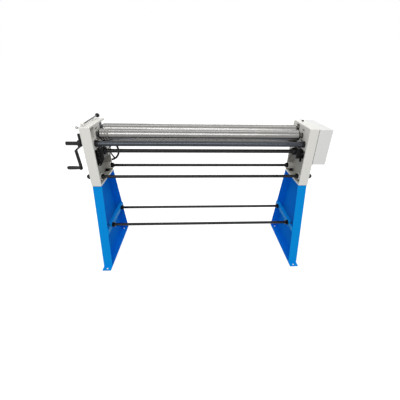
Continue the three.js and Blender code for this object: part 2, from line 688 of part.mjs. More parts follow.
function idlerStudSolid() {
  const { y, z } = idlerPlace();
  const end = DRIVE_GEAR_X + DRIVE_GEAR_WIDTH + FIT;
  return joined(
    rodX(STUD_DIAMETER, WEB_X, end + LAP, y, z, SMALL_SIDES),
    rodX(STUD_HEAD_DIAMETER, end, end + STUD_HEAD_WIDTH, y, z, SMALL_SIDES),
    rodX(STUD_HEAD_DIAMETER, OUTER_X + FIT, DRIVE_GEAR_X - FIT, y, z, SMALL_SIDES));
}

// Drive shaft with its journals, crank stub and pinion seat
function driveShaftSolid() {
  const inner = INNER_X - FIT - BEARING_FLANGE_WIDTH - FIT;
  const rodAt = (diameter, x0, x1) => rodX(diameter, x0, x1, DRIVE_Y, DRIVE_Z);
  const seatEnd = DRIVE_GEAR_X + DRIVE_GEAR_WIDTH + FIT;
  return joined(
    rodAt(DRIVE_DIAMETER, -inner, inner),
    rodAt(DRIVE_JOURNAL_DIAMETER, -OUTER_X - FIT, -inner + LAP),
    rodAt(DRIVE_JOURNAL_DIAMETER, inner - LAP, OUTER_X + FIT),
    rodAt(STUB_DIAMETER, -HUB_X + FIT, -OUTER_X),
    rodAt(STUB_CORE_DIAMETER, -SLEEVE_X - SLEEVE_LENGTH, -HUB_X + LAP),
    rodAt(DRIVE_GEAR_SEAT_DIAMETER, OUTER_X, seatEnd));
}

function stubSleeveSolid() {
  const x1 = -SLEEVE_X;
  const x0 = x1 - SLEEVE_LENGTH;
  return rodX(STUB_DIAMETER, x0, x1, DRIVE_Y, DRIVE_Z)
    .subtract(rodX(STUB_CORE_DIAMETER + 2 * FIT, x0 - LAP, x1 + LAP, DRIVE_Y, DRIVE_Z));
}

// Bent crank bar with its hub, and the horn above the hub
function crankArmSolid() {
  const footX = CRANK_X + CRANK_FOOT_OUT;
  const hornX = CRANK_X - CRANK_HORN_INSET;
  const hubReach = CRANK_HUB_DIAMETER / 2 - CRANK_HUB_OVERLAP;
  const arm = [
    [-CRANK_X, DRIVE_Z - hubReach],
    [-CRANK_X - CRANK_ELBOW_OUT, DRIVE_Z - CRANK_ELBOW_DROP],
    [-footX, CRANK_Z + CRANK_FOOT_STRAIGHT],
    [-footX, CRANK_Z - CRANK_END]];
  const barHalf = CRANK_BAR_WIDTH / 2;
  const bar = prismY(ribbon(arm, CRANK_BAR_THICKNESS), DRIVE_Y - barHalf, DRIVE_Y + barHalf);
  const horn = box(-hornX - CRANK_HORN_WIDTH / 2, -hornX + CRANK_HORN_WIDTH / 2,
    DRIVE_Y - CRANK_HORN_DEPTH / 2, DRIVE_Y + CRANK_HORN_DEPTH / 2, DRIVE_Z + hubReach, DRIVE_Z + CRANK_HORN);
  const hub = rodX(CRANK_HUB_DIAMETER, -HUB_X - CRANK_HUB_WIDTH, -HUB_X, DRIVE_Y, DRIVE_Z);
  const shaftBore = rodX(STUB_CORE_DIAMETER + 2 * FIT, -SLEEVE_X - SLEEVE_LENGTH, -OUTER_X, DRIVE_Y, DRIVE_Z);
  const spindleBore = rodX(SPINDLE_DIAMETER + 2 * FIT, -GRIP_X - LAP, -HUB_X, DRIVE_Y, CRANK_Z, SMALL_SIDES);
  return joined(hub, bar, horn).subtract(shaftBore).subtract(spindleBore);
}

function crankSpindleSolid() {
  const inner = CRANK_X + CRANK_FOOT_OUT - CRANK_BAR_THICKNESS / 2 - FIT;
  const head = GRIP_X + GRIP_LENGTH + FIT;
  return joined(
    rodX(SPINDLE_HEAD_DIAMETER, -inner, -inner + SPINDLE_HEAD_WIDTH, DRIVE_Y, CRANK_Z, SMALL_SIDES),
    rodX(SPINDLE_DIAMETER, -head - LAP, -inner + LAP, DRIVE_Y, CRANK_Z, SMALL_SIDES),
    rodX(SPINDLE_HEAD_DIAMETER, -head - SPINDLE_HEAD_WIDTH, -head, DRIVE_Y, CRANK_Z, SMALL_SIDES));
}

function crankGripSolid() {
  const end = -GRIP_X - GRIP_LENGTH;
  return rodX(GRIP_DIAMETER, end, -GRIP_X, DRIVE_Y, CRANK_Z)
    .subtract(rodX(SPINDLE_DIAMETER + 2 * FIT, end - LAP, -GRIP_X + LAP, DRIVE_Y, CRANK_Z, SMALL_SIDES));
}

// Sliding block with a bore for a roll's journal, on the right
function blockSolid(y, z, depth, low, high, outer) {
  return box(INNER_X + BLOCK_SETBACK, outer, y - depth / 2, y + depth / 2, low, high)
    .subtract(rodX(JOURNAL_DIAMETER + 2 * FIT, INNER_X, OUTER_X, y, z));
}

function bendingBlockSolid() {
  const half = BENDING_BLOCK_HEIGHT / 2;
  return blockSolid(BENDING_ROLL_Y, BENDING_ROLL_Z, BENDING_BLOCK_DEPTH,
    BENDING_ROLL_Z - half, BENDING_ROLL_Z + half, WEB_X - FIT);
}

function lowerBlockSolid() {
  const half = LOWER_BLOCK_HEIGHT / 2;
  return blockSolid(LOWER_ROLL_Y, LOWER_ROLL_Z, LOWER_BLOCK_DEPTH,
    LOWER_ROLL_Z - half, LOWER_ROLL_Z + half, WEB_X - FIT);
}

function upperBlockSolid() {
  return blockSolid(UPPER_ROLL_Y, UPPER_ROLL_Z, UPPER_BLOCK_DEPTH,
    UPPER_SLOT_BOTTOM_Z + SLIDE, UPPER_SLOT_TOP_Z - SLIDE, WEB_X - SWING_END_GAP);
}

function upperBushSolid() {
  const bore = JOURNAL_DIAMETER + 2 * FIT;
  return rodX(bore + 2 * BUSH_WALL, WEB_X, OUTER_X, UPPER_ROLL_Y, UPPER_ROLL_Z)
    .subtract(rodX(bore, WEB_X - LAP, OUTER_X + LAP, UPPER_ROLL_Y, UPPER_ROLL_Z));
}

// Pinch screw under the lower block, its head in the lower pocket
function pinchScrewSolid() {
  const tip = LOWER_ROLL_Z - LOWER_BLOCK_HEIGHT / 2 - FIT;
  const headTop = LOWER_CELL_TOP_Z - LOWER_TRAVEL - FIT;
  const acrossCorners = PINCH_HEAD_WIDTH / Math.cos(Math.PI / 6);
  return joined(
    rodZ(PINCH_SCREW_DIAMETER, headTop - LAP, tip, SCREW_X, LOWER_ROLL_Y, SMALL_SIDES),
    rodZ(acrossCorners, headTop - PINCH_HEAD_HEIGHT, headTop, SCREW_X, LOWER_ROLL_Y, 6));
}

// Lift screw under the bending block, through the gear nut
function liftScrewSolid() {
  const top = BENDING_ROLL_Z - BENDING_BLOCK_HEIGHT / 2 - FIT;
  const bottom = SHELF_TOP_Z - SCREW_TAIL;
  return rodZ(SCREW_DIAMETER, bottom, top, SCREW_X, BENDING_ROLL_Y, SMALL_SIDES);
}

// Bracket that carries the gear nut on a shelf and the end of the lower shaft in a plate
function screwBracketSolid(guardBottom, guardOuter) {
  const innerX = INNER_X - BRACKET_REACH;
  const front = BENDING_ROLL_Y - BRACKET_FRONT;
  const rear = BENDING_ROLL_Y + BRACKET_REAR;
  const top = SYNC_Z + BRACKET_TOP;
  const outer = WEB_X - FIT;
  const shelf = box(innerX, outer, front, rear, SHELF_BOTTOM_Z, SHELF_TOP_Z);
  const plate = box(innerX, innerX + BRACKET_PLATE, front, rear, SHELF_TOP_Z - LAP, top);
  const corners = [[innerX, top], [guardOuter, top], [guardOuter, guardBottom]];
  if (guardBottom < SHELF_BOTTOM_Z) {
    corners.push([innerX + GUARD_CHAMFER_WIDTH, guardBottom], [innerX, guardBottom + GUARD_CHAMFER_HEIGHT]);
  } else {
    corners.push([innerX, guardBottom]);
  }
  const guard = prismY(corners, front, front + BRACKET_WALL);
  const nutHole = rodZ(NUT_COLLAR_DIAMETER + 2 * FIT, SHELF_BOTTOM_Z - LAP, SHELF_TOP_Z + LAP,
    SCREW_X, BENDING_ROLL_Y);
  const shaftHole = rodX(SYNC_DIAMETER + 2 * FIT, innerX - LAP, innerX + BRACKET_PLATE + LAP,
    BENDING_ROLL_Y, SYNC_Z);
  return joined(shelf, plate, guard).subtract(nutHole).subtract(shaftHole);
}

// Gear nut around the lift screw, with a bevel ring above and, on the left, one below for the handwheel
function gearNutSolid(withLowerRing) {
  const bore = SCREW_DIAMETER + 2 * THREAD_CLEARANCE;
  const upperBack = SYNC_Z - BEVEL_RADIUS;
  const parts = [
    bevelRing(Math.PI).translate([0, 0, SYNC_Z]),
    rodZ(BEVEL_HUB_DIAMETER, SHELF_TOP_Z + FIT, upperBack + LAP, 0, 0),
    rodZ(NUT_COLLAR_DIAMETER, SHELF_BOTTOM_Z - FIT - LAP, SHELF_TOP_Z + FIT + LAP, 0, 0)];
  const lowerBack = HANDWHEEL_Z + BEVEL_RADIUS;
  const flangeLow = withLowerRing ? lowerBack - LAP : SHELF_BOTTOM_Z - FIT - NUT_FLANGE_HEIGHT;
  parts.push(rodZ(BEVEL_HUB_DIAMETER, flangeLow, SHELF_BOTTOM_Z - FIT, 0, 0));
  if (withLowerRing) {
    parts.push(bevelRing(-Math.PI / 2).rotate([180, 0, 0]).translate([0, 0, HANDWHEEL_Z]));
  }
  const nut = joined(...parts).subtract(rodZ(bore, HANDWHEEL_Z - BEVEL_RADIUS, SYNC_Z + BEVEL_RADIUS, 0, 0));
  return nut.translate([SCREW_X, BENDING_ROLL_Y, 0]);
}

// Bevel gear on the end of the lower shaft, its apex on the lift screw's axis
function syncBevelSolid() {
  const ring = bevelRing(BEVEL_PITCH / 2);
  const hub = rodZ(BEVEL_HUB_DIAMETER, -BEVEL_RADIUS - BEVEL_HUB_WIDTH, -BEVEL_RADIUS + LAP, 0, 0);
  const bore = rodZ(SYNC_SPIGOT_DIAMETER + 2 * FIT, -BEVEL_RADIUS - BEVEL_HUB_WIDTH - LAP, 0, 0, 0);
  return ring.add(hub).subtract(bore).rotate([0, 90, 0]).translate([SCREW_X, BENDING_ROLL_Y, SYNC_Z]);
}

function syncShaftSolid() {
  const shoulder = SCREW_X - BEVEL_RADIUS - BEVEL_HUB_WIDTH - FIT;
  const end = SCREW_X - BEVEL_RADIUS + BEVEL_FACE - SPIGOT_INSET;
  return joined(
    rodX(SYNC_DIAMETER, -shoulder, shoulder, BENDING_ROLL_Y, SYNC_Z),
    rodX(SYNC_SPIGOT_DIAMETER, -end, end, BENDING_ROLL_Y, SYNC_Z));
}

// Bevel gear of the handwheel shaft, below the left gear nut
function wheelBevelSolid() {
  const ring = bevelRing(Math.PI / 2 + BEVEL_PITCH / 2);
  const hub = rodZ(BEVEL_HUB_DIAMETER, -BEVEL_RADIUS - BEVEL_HUB_WIDTH, -BEVEL_RADIUS + LAP, 0, 0);
  const bore = rodZ(WHEEL_SHAFT_TIP + 2 * FIT, -BEVEL_RADIUS - BEVEL_HUB_WIDTH - LAP, 0, 0, 0);
  return ring.add(hub).subtract(bore).rotate([90, 0, 0]).translate([-SCREW_X, BENDING_ROLL_Y, HANDWHEEL_Z]);
}

function wheelShaftSolid() {
  const shoulder = BENDING_ROLL_Y + BEVEL_RADIUS + BEVEL_HUB_WIDTH + FIT;
  const tip = BENDING_ROLL_Y + BEVEL_RADIUS - BEVEL_FACE + SPIGOT_INSET;
  const end = WHEEL_Y + WHEEL_HUB_WIDTH / 2 - WHEEL_HUB_CAP - FIT;
  return joined(
    rodY(WHEEL_SHAFT_DIAMETER, shoulder, end, -SCREW_X, HANDWHEEL_Z, SMALL_SIDES),
    rodY(WHEEL_SHAFT_TIP, tip, shoulder + LAP, -SCREW_X, HANDWHEEL_Z, SMALL_SIDES));
}

// Handwheel with round rim and spokes, and the pin of its turning handle
function handwheelSolid() {
  const rim = new THREE.TorusGeometry(WHEEL_RADIUS, WHEEL_RIM_RADIUS, WHEEL_RIM_SIDES, WHEEL_RIM_STEPS);
  rim.rotateX(Math.PI / 2);
  const hub = rodY(WHEEL_HUB_DIAMETER, -WHEEL_HUB_WIDTH / 2, WHEEL_HUB_WIDTH / 2, 0, 0);
  let wheel = solidOf(rim).add(hub);
  for (let spoke = 0; spoke < WHEEL_SPOKES; spoke += 1) {
    const angle = WHEEL_HANDLE_ANGLE + spoke * 2 * Math.PI / WHEEL_SPOKES;
    const end = new THREE.Vector3(WHEEL_RADIUS * Math.cos(angle), 0, WHEEL_RADIUS * Math.sin(angle));
    wheel = wheel.add(rodBetween(WHEEL_SPOKE_DIAMETER, new THREE.Vector3(0, 0, 0), end, WHEEL_SPOKE_SIDES));
  }
  const pinX = WHEEL_RADIUS * Math.cos(WHEEL_HANDLE_ANGLE);
  const pinZ = WHEEL_RADIUS * Math.sin(WHEEL_HANDLE_ANGLE);
  const pinEnd = WHEEL_RIM_RADIUS + FIT + WHEEL_HANDLE_LENGTH;
  const pin = rodY(WHEEL_PIN_DIAMETER, 0, pinEnd + FIT + LAP, pinX, pinZ, SMALL_SIDES);
  const headY = pinEnd + FIT;
  const head = rodY(WHEEL_PIN_HEAD_DIAMETER, headY, headY + WHEEL_PIN_HEAD_WIDTH, pinX, pinZ, SMALL_SIDES);
  const bore = rodY(WHEEL_SHAFT_DIAMETER + 2 * FIT, -WHEEL_HUB_WIDTH, WHEEL_HUB_WIDTH / 2 - WHEEL_HUB_CAP,
    0, 0, SMALL_SIDES);
  return joined(wheel, pin, head).subtract(bore).translate([-SCREW_X, WHEEL_Y, HANDWHEEL_Z]);
}

function wheelHandleSolid() {
  const x = -SCREW_X + WHEEL_RADIUS * Math.cos(WHEEL_HANDLE_ANGLE);
  const z = HANDWHEEL_Z + WHEEL_RADIUS * Math.sin(WHEEL_HANDLE_ANGLE);
  const y0 = WHEEL_Y + WHEEL_RIM_RADIUS + FIT;
  const y1 = y0 + WHEEL_HANDLE_LENGTH;
  return rodY(WHEEL_HANDLE_DIAMETER, y0, y1, x, z)
    .subtract(rodY(WHEEL_PIN_DIAMETER + 2 * FIT, y0 - LAP, y1 + LAP, x, z, SMALL_SIDES));
}

// Height of the release lever's rod at a given place along it
function leverRodZ(y) {
  const slope = (LEVER_KNOB_RISE - LEVER_PIVOT_RISE) / (LEVER_KNOB_Y - LEVER_PIVOT_Y);
  return HOUSING_TOP_Z + LEVER_PIVOT_RISE + slope * (y - LEVER_PIVOT_Y);
}

// Release lever: hub and pivot, long rod, and the pin that clamps the upper block
function releaseLeverSolid() {
  const pivotZ = HOUSING_TOP_Z + LEVER_PIVOT_RISE;
  const hubHalf = LEVER_HUB_WIDTH / 2;
  const pivotHalf = hubHalf + FIT + EAR_THICKNESS;
  const start = new THREE.Vector3(-LEVER_X, LEVER_PIVOT_Y, pivotZ);
  const knobInside = LEVER_KNOB_Y - LEVER_KNOB_SEAT;
  const end = new THREE.Vector3(-LEVER_X, knobInside, leverRodZ(knobInside));
  return joined(
    rodX(LEVER_HUB_DIAMETER, -LEVER_X - hubHalf, -LEVER_X + hubHalf, LEVER_PIVOT_Y, pivotZ, SMALL_SIDES),
    rodX(LEVER_PIVOT_DIAMETER, -LEVER_X - pivotHalf, -LEVER_X + pivotHalf,
      LEVER_PIVOT_Y, pivotZ, SMALL_SIDES),
    rodBetween(LEVER_ROD_DIAMETER, start, end),
    rodZ(LEVER_PIN_DIAMETER, UPPER_SLOT_TOP_Z, leverRodZ(UPPER_ROLL_Y) + LEVER_ROD_DIAMETER / 4,
      -LEVER_X, UPPER_ROLL_Y, SMALL_SIDES));
}

function releaseKnobSolid() {
  const z = leverRodZ(LEVER_KNOB_Y);
  const outside = LEVER_KNOB_Y - 2 * LEVER_KNOB_RADIUS;
  const start = new THREE.Vector3(-LEVER_X, outside, leverRodZ(outside));
  const inside = LEVER_KNOB_Y - LEVER_KNOB_SEAT + FIT;
  const end = new THREE.Vector3(-LEVER_X, inside, leverRodZ(inside));
  return ball(LEVER_KNOB_RADIUS, -LEVER_X, LEVER_KNOB_Y, z)
    .subtract(rodBetween(LEVER_ROD_DIAMETER + 2 * FIT, start, end));
}

function leverBracketSolid() {
  const pivotZ = HOUSING_TOP_Z + LEVER_PIVOT_RISE;
  const near = LEVER_X - LEVER_HUB_WIDTH / 2 - FIT;
  const far = LEVER_X + LEVER_HUB_WIDTH / 2 + FIT;
  const y0 = LEVER_PIVOT_Y - EAR_WIDTH / 2;
  const y1 = LEVER_PIVOT_Y + EAR_WIDTH / 2;
  const low = HOUSING_TOP_Z + FIT;
  const high = pivotZ + LEVER_PIVOT_DIAMETER;
  const underHub = pivotZ - LEVER_HUB_DIAMETER / 2 - FIT;
  return joined(
    box(-far - EAR_THICKNESS, -near + EAR_THICKNESS, y0, y1, low, Math.min(low + EAR_BASE, underHub)),
    box(-far - EAR_THICKNESS, -far, y0, y1, low, high),
    box(-near, -near + EAR_THICKNESS, y0, y1, low, high))
    .subtract(rodX(LEVER_PIVOT_DIAMETER + 2 * FIT, -far - EAR_THICKNESS - LAP, -near + EAR_THICKNESS + LAP,
      LEVER_PIVOT_Y, pivotZ, SMALL_SIDES));
}

function ballOilerSolid() {
  const z = HOUSING_TOP_Z - OILER_DROP;
  const centre = OUTER_X + OILER_REACH;
  const stemZ = z - OILER_STEM_DIAMETER / 2;
  return rodX(OILER_STEM_DIAMETER, -centre, -OUTER_X - FIT, OILER_Y + OILER_STEM_DIAMETER, stemZ, SMALL_SIDES)
    .add(ball(OILER_BALL_RADIUS, -centre, OILER_Y, z));
}

// Finishes seen on the machine
function finish(color, roughness, metalness) {
  return new THREE.MeshStandardMaterial({ color, roughness, metalness });
}

const LEG_BLUE = finish('#0a6fc4', 0.4, 0);
const CAST_GREY = finish('#d9d9d4', 0.5, 0);
const COVER_GREY = finish('#d4d5d2', 0.5, 0);
const ROLL_STEEL = finish('#b9b9b4', 0.25, 1);
const SHAFT_STEEL = finish('#77777f', 0.3, 1);
const BLACK_STEEL = finish('#1b1b1d', 0.45, 0.6);
const BLACK_PLASTIC = finish('#121213', 0.4, 0);
const GEAR_STEEL = finish('#6c6c6e', 0.4, 1);
const BLOCK_IRON = finish('#4a4a4c', 0.5, 0.8);
const BRONZE = finish('#a5793c', 0.4, 1);

// Everything, in the working frame
const machine = new THREE.Group();

function add(name, solid, material) {
  const mesh = new THREE.Mesh(geometryOf(solid), material);
  mesh.name = name;
  machine.add(mesh);
}

const SIDES_OF_MACHINE = [['left', -1], ['right', 1]];

function addFrame() {
  for (const [name, side] of SIDES_OF_MACHINE) {
    add(`${name}_leg`, mirrored(legSolid(), side), LEG_BLUE);
    add(`${name}_leg_strip`, mirrored(stripSolid(), side), LEG_BLUE);
  }
  add('left_housing', leftHousingSolid(), CAST_GREY);
  add('right_housing', rightHousingSolid(), CAST_GREY);
  add('gear_cover', coverSolid(), COVER_GREY);
}

function addTieRods() {
  const upperEnd = OUTER_X + FIT + NUT_THICKNESS + ROD_END;
  const lowerEnd = STRIP_X + NUT_THICKNESS + ROD_END;
  const rods = [
    ['upper_front', upperEnd, FRONT_ROD_Y, UPPER_ROD_Z],
    ['upper_rear', upperEnd, UPPER_REAR_ROD_Y, UPPER_ROD_Z],
    ['lower_front', lowerEnd, FRONT_ROD_Y, LOWER_ROD_Z],
    ['lower_rear', lowerEnd, LOWER_REAR_ROD_Y, LOWER_ROD_Z]];
  for (const [name, end, y, z] of rods) {
    add(`${name}_tie_rod`, rodX(ROD_DIAMETER, -end, end, y, z), BLACK_STEEL);
  }
  for (const [name, side] of SIDES_OF_MACHINE) {
    for (const [row, y] of [['front', FRONT_ROD_Y], ['rear', UPPER_REAR_ROD_Y]]) {
      const inner = nutX(INNER_X - FIT - NUT_THICKNESS, INNER_X - FIT, y, UPPER_ROD_Z);
      const outer = nutX(OUTER_X + FIT, OUTER_X + FIT + NUT_THICKNESS, y, UPPER_ROD_Z);
      add(`${name}_${row}_inner_nut`, mirrored(inner, side), BLACK_STEEL);
      add(`${name}_${row}_outer_nut`, mirrored(outer, side), BLACK_STEEL);
    }
  }
}

function addDrive() {
  const idler = idlerPlace();
  const lowerPhase = pointingPhase(LOWER_ROLL_Y, LOWER_ROLL_Z, idler.y, idler.z);
  const idlerPhase = meshedPhase(IDLER_TEETH, LOWER_ROLL_Y, LOWER_ROLL_Z, idler.y, idler.z);
  const toDrive = Math.atan2(DRIVE_Z - idler.z, DRIVE_Y - idler.y);
  const idlerPitch = 2 * Math.PI / IDLER_TEETH;
  const lead = (toDrive - idlerPhase) / idlerPitch;
  const offset = (lead - Math.round(lead)) * 2 * Math.PI / PINION_TEETH;
  const pinionPhase = toDrive + Math.PI + Math.PI / PINION_TEETH + offset;
  for (const [name, side] of SIDES_OF_MACHINE) {
    add(`${name}_drive_bearing`, mirrored(driveBearingSolid(), side), BLACK_STEEL);
  }
  add('idler_stud', idlerStudSolid(), BLOCK_IRON);
  add('drive_shaft', driveShaftSolid(), SHAFT_STEEL);
  add('stub_sleeve', stubSleeveSolid(), BLACK_STEEL);
  add('crank_arm', crankArmSolid(), BLACK_STEEL);
  add('crank_spindle', crankSpindleSolid(), BLACK_STEEL);
  add('crank_grip', crankGripSolid(), BLACK_PLASTIC);
  add('drive_pinion', spurGear(PINION_TEETH, DRIVE_GEAR_WIDTH, DRIVE_GEAR_SEAT_DIAMETER, DRIVE_GEAR_X,
    DRIVE_Y, DRIVE_Z, pinionPhase), GEAR_STEEL);
  add('idler_gear', spurGear(IDLER_TEETH, DRIVE_GEAR_WIDTH, STUD_DIAMETER, DRIVE_GEAR_X,
    idler.y, idler.z, idlerPhase), GEAR_STEEL);
  add('lower_roll_drive_gear', spurGear(LOWER_GEAR_TEETH, DRIVE_GEAR_WIDTH, JOURNAL_DIAMETER, DRIVE_GEAR_X,
    LOWER_ROLL_Y, LOWER_ROLL_Z, lowerPhase), GEAR_STEEL);
}

function addPinchRolls() {
  const leftEnd = -WEB_X + JOURNAL_END_GAP;
  const lowerEnd = DRIVE_GEAR_X + DRIVE_GEAR_WIDTH + FIT;
  const upperEnd = PINCH_GEAR_X + PINCH_GEAR_WIDTH + FIT;
  add('lower_roll', rollSolid(LOWER_ROLL_Y, LOWER_ROLL_Z, leftEnd, lowerEnd, []), ROLL_STEEL);
  add('lower_pinch_gear', spurGear(PINCH_TEETH, PINCH_GEAR_WIDTH, JOURNAL_DIAMETER, PINCH_GEAR_X,
    LOWER_ROLL_Y, LOWER_ROLL_Z, Math.PI / 2), GEAR_STEEL);
  add('upper_roll', rollSolid(UPPER_ROLL_Y, UPPER_ROLL_Z, leftEnd, upperEnd, []), ROLL_STEEL);
  add('upper_pinch_gear', spurGear(PINCH_TEETH, PINCH_GEAR_WIDTH, JOURNAL_DIAMETER, PINCH_GEAR_X,
    UPPER_ROLL_Y, UPPER_ROLL_Z, -Math.PI / 2 + Math.PI / PINCH_TEETH), GEAR_STEEL);
  for (const [name, side] of SIDES_OF_MACHINE) {
    add(`${name}_lower_block`, mirrored(lowerBlockSolid(), side), BLOCK_IRON);
    add(`${name}_pinch_screw`, mirrored(pinchScrewSolid(), side), BLACK_STEEL);
  }
  add('upper_left_block', mirrored(upperBlockSolid(), -1), BLOCK_IRON);
  add('upper_right_bush', upperBushSolid(), BRONZE);
}

function addBendingRoll() {
  const end = WEB_X - JOURNAL_END_GAP;
  add('bending_roll', rollSolid(BENDING_ROLL_Y, BENDING_ROLL_Z, -end, end, WIRE_GROOVES), ROLL_STEEL);
  for (const [name, side] of SIDES_OF_MACHINE) {
    add(`${name}_bending_block`, mirrored(bendingBlockSolid(), side), CAST_GREY);
    add(`${name}_lift_screw`, mirrored(liftScrewSolid(), side), BLACK_STEEL);
    add(`${name}_gear_nut`, mirrored(gearNutSolid(side < 0), side), GEAR_STEEL);
    add(`${name}_sync_bevel`, mirrored(syncBevelSolid(), side), GEAR_STEEL);
  }
  const shortGuardX = INNER_X - BRACKET_REACH + SHORT_GUARD_REACH;
  add('left_screw_bracket', mirrored(screwBracketSolid(GUARD_BOTTOM_Z, WEB_X - FIT), -1), BLACK_STEEL);
  add('right_screw_bracket', screwBracketSolid(SHELF_BOTTOM_Z, shortGuardX), BLACK_STEEL);
  add('sync_shaft', syncShaftSolid(), BLACK_STEEL);
  add('handwheel_bevel', wheelBevelSolid(), GEAR_STEEL);
  add('handwheel_shaft', wheelShaftSolid(), BLACK_STEEL);
  add('handwheel', handwheelSolid(), BLACK_STEEL);
  add('handwheel_handle', wheelHandleSolid(), BLACK_PLASTIC);
}

function addRelease() {
  add('lever_bracket', leverBracketSolid(), CAST_GREY);
  add('ball_oiler', ballOilerSolid(), BLACK_STEEL);
  add('release_lever', releaseLeverSolid(), SHAFT_STEEL);
  add('release_knob', releaseKnobSolid(), BLACK_PLASTIC);
}

addFrame();
addTieRods();
addDrive();
addPinchRolls();
addBendingRoll();
addRelease();

// Bottom centre of the whole machine at the origin
machine.position.set((GRIP_END_X - COVER_X) / 2, -(FOOT_FRONT_Y + FOOT_REAR_Y) / 2, 0);

export default machine;
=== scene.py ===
"""Slip roll machine: the looks of every piece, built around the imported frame."""
import json
import logging
import math
from dataclasses import dataclass, field
from enum import Enum
from typing import Callable, Iterable, Sequence

import bpy
from mathutils import Matrix, Vector


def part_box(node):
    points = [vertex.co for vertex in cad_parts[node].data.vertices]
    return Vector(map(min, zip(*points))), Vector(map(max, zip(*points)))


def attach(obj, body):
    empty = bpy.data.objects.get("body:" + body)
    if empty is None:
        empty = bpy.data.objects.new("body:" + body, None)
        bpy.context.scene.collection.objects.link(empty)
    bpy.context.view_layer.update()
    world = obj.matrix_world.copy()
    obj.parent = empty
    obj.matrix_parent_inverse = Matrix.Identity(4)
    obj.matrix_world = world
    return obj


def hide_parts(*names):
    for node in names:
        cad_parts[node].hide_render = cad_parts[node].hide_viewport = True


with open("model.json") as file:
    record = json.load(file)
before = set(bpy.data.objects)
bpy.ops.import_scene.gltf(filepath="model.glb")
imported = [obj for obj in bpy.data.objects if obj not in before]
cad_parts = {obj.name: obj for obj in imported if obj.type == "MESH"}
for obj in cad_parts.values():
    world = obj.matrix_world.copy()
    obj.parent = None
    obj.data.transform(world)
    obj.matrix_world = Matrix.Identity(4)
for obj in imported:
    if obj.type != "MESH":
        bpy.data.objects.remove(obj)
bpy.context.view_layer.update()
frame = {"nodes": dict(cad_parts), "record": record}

LOG = logging.getLogger("slip_roll")

MM = 0.001
SIDES = 96
SMALL_SIDES = 48
HEX = 6
EASE_STEPS = 3
SMOOTH_ANGLE = math.radians(40)
SHARP_ANGLE = math.radians(28)
MERGE_DISTANCE = 0.00001
RING_MERGE_DISTANCE = 0.000001
FLAT_ANGLE = math.radians(0.4)

# Rounding of a profile: the share of a side that it may take, the bend in radians that counts as
# straight, and the shortest side in millimetres
EASE_SHARE = 0.45
STRAIGHT_BEND = 0.2
SHORTEST_SIDE = 0.000001

# How squarely a face must look along X to count as a floor or an outer face
SQUARE_FACE = 0.7

# The detail of the two noises of a finish, and the stretch of noise values that spans its roughness
CLOUD_DETAIL = 3.0
GRAIN_DETAIL = 4.0
NOISE_LOW = 0.3
NOISE_HIGH = 0.7

WHITE = (1.0, 1.0, 1.0, 1.0)

Profile = list[tuple[float, float]]
Outline = tuple[tuple[float, float], ...]


class Side(Enum):
    """The two ends of the machine, with the sign of their place along X."""

    LEFT = -1
    RIGHT = 1

    @property
    def word(self) -> str:
        """The side's name as the nodes spell it."""
        return self.name.lower()


class Axis(Enum):
    """The direction in which a turned piece's profile runs."""

    X = (1.0, 0.0, 0.0)
    Y = (0.0, 1.0, 0.0)
    Z = (0.0, 0.0, 1.0)

    @property
    def vector(self) -> Vector:
        """The axis as a unit vector."""
        return Vector(self.value)


def linear(colour: str) -> tuple[float, float, float, float]:
    """Turn an sRGB hex colour into linear values.

    Args:
        colour: the colour as "#rrggbb".

    Returns:
        Red, green, blue and an alpha of 1.
    """
    def channel(start: int) -> float:
        """The linear value of the two digits at start."""
        share = int(colour[start:start + 2], 16) / 255
        return share / 12.92 if share <= 0.04045 else ((share + 0.055) / 1.055) ** 2.4

    return channel(1), channel(3), channel(5), 1.0


def add_node(tree: bpy.types.NodeTree, kind: str, settings: dict | None = None,
             values: dict | None = None, links: dict | None = None) -> bpy.types.Node:
    """Add a shader node with its settings, socket values and links.

    Args:
        tree: the material's or world's node tree.
        kind: the node's type name.
        settings: attributes of the node.
        values: default values by input socket.
        links: output sockets by the input socket that they feed.

    Returns:
        The new node.
    """
    node = tree.nodes.new(kind)
    for name, value in (settings or {}).items():
        setattr(node, name, value)
    for socket, value in (values or {}).items():
        node.inputs[socket].default_value = value
    for socket, source in (links or {}).items():
        tree.links.new(source, node.inputs[socket])
    return node


def per_metre(size_mm: float) -> float:
    """The texture scale at which one cell of a pattern measures size_mm."""
    return 1 / (size_mm * MM)


